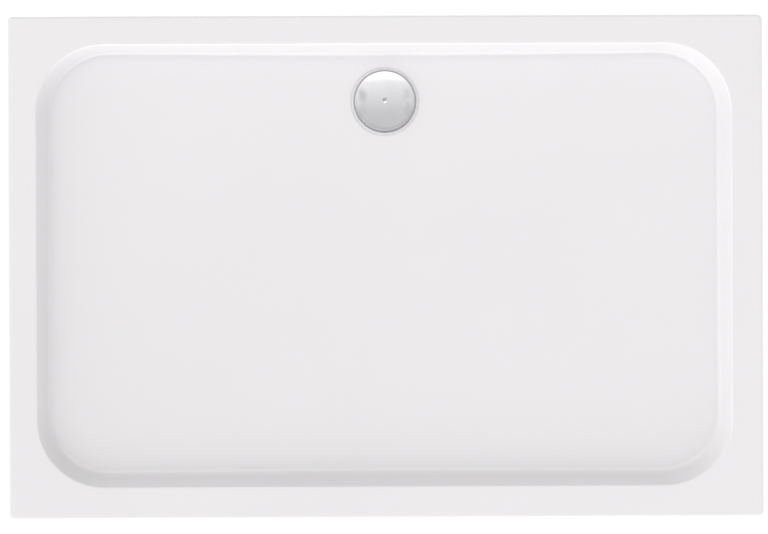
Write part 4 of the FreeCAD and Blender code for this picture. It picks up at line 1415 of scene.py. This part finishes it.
# ---- stage
def light_room(studio):
    """Light from all round, with more low down, overhead, on two sides and in a softbox.

    The belt low down is weaker on the wall side, and the ceiling's light fades away from it. To
    the left and to the front, light is added by the square of the cosine between the direction
    and a line that climbs a little on that side, and none of it overhead. The softbox is a
    rectangle with soft edges, some way from straight up towards the wall side. The numbers in
    the ramps are cosines between the direction and the axis that the tone is named for.
    """
    world = bpy.data.worlds.new("room")
    bpy.context.scene.world = world
    world.use_nodes = True
    nodes = Nodes(world.node_tree)
    aside, ahead, up = nodes.axes()
    belt = up.ramp(0.05, 0.5, studio.belt, 0.0) * ahead.ramp(0.2, 0.9, 1.0, 0.1)
    ceiling = up.ramp(0.85, 0.95, 0.0, studio.ceiling) * ahead.ramp(-0.1, 0.26)
    glow = ceiling + belt + studio.room
    below_ceiling = up.ramp(0.94, 0.985, 1.0, 0.0)
    climb = math.radians(12)
    for strength, x, y in ((studio.left, -1, 0), (studio.front, 0, -1)):
        line = (x * math.cos(climb), y * math.cos(climb), math.sin(climb))
        inputs = {0: nodes.place, 1: line}
        toward = nodes.node("VectorMath", {"operation": "DOT_PRODUCT"}, inputs, "Value")
        toward = toward.most(0.0)
        glow = glow + toward * toward * below_ceiling * strength
    box_length = ahead.ramp(0.262, 0.31) * ahead.ramp(0.60, 0.70, 1.0, 0.0)
    box_width = (aside * aside).ramp(0.15, 0.30, 1.0, 0.0)
    glow = glow + box_length * up.ramp(0.0, 0.2) * box_width * studio.softbox
    background = world.node_tree.nodes["Background"]
    background.inputs["Color"].default_value = (1, 1, 1, 1)
    world.node_tree.links.new(glow.socket, background.inputs["Strength"])


class TRAY_OT_stage(bpy.types.Operator):
    """Makes the pale floor, the soft lights and the camera"""

    bl_idname = "tray.stage"
    bl_label = "Stage"

    def execute(self, context):
        studio = setting("studio")
        reach, below = 12.0, 0.2 * MM
        sides = np.array([-reach, reach])
        x, y = np.meshgrid(sides, sides)
        flat = np.stack([x, y, np.full_like(x, -below)], -1)
        floor = surface("floor", (flat, {"round_columns": False}))
        floor.data.materials.append(finish("floor"))

        light_room(studio)
        context.scene.view_settings.view_transform = "Standard"

        camera = bpy.data.cameras.new("camera")
        camera.sensor_fit = "HORIZONTAL"
        camera.sensor_width = 36.0
        camera.lens = studio.lens
        camera.clip_end = 50
        obj = linked("camera", camera)
        obj.location = (studio.aside, studio.ahead, RIM_Z + studio.distance)
        obj.rotation_euler = (studio.tilt_x, studio.tilt_y, studio.roll)
        context.scene.camera = obj
        return {"FINISHED"}


# ---- add-on
OPERATORS = (
    TRAY_OT_stage,
    TRAY_OT_acrylic,
    TRAY_OT_laminate,
    TRAY_OT_base,
    TRAY_OT_rails,
    TRAY_OT_nuts,
    TRAY_OT_studs,
    TRAY_OT_pads,
    TRAY_OT_cover,
    TRAY_OT_flange,
    TRAY_OT_seals,
    TRAY_OT_trap,
    TRAY_OT_outlet,
    TRAY_OT_inserts,
)


class TRAY_PT_sidebar(bpy.types.Panel):
    """Lists the tray's pieces in the sidebar"""

    bl_label = "Shower tray"
    bl_space_type = "VIEW_3D"
    bl_region_type = "UI"
    bl_category = "Shower tray"

    def draw(self, context):
        for operator in OPERATORS:
            self.layout.operator(operator.bl_idname)


CLASSES = [*GROUPS.values(), *OPERATORS, TRAY_PT_sidebar]


def register():
    for cls in CLASSES:
        bpy.utils.register_class(cls)
    for name, group in GROUPS.items():
        setattr(bpy.types.Scene, "tray_" + name, PointerProperty(type=group))


def unregister():
    for name in GROUPS:
        delattr(bpy.types.Scene, "tray_" + name)
    for cls in reversed(CLASSES):
        bpy.utils.unregister_class(cls)


def main():
    register()
    for operator in OPERATORS:
        getattr(bpy.ops.tray, operator.bl_idname.split(".")[1])()


if __name__ == "__main__":
    main()
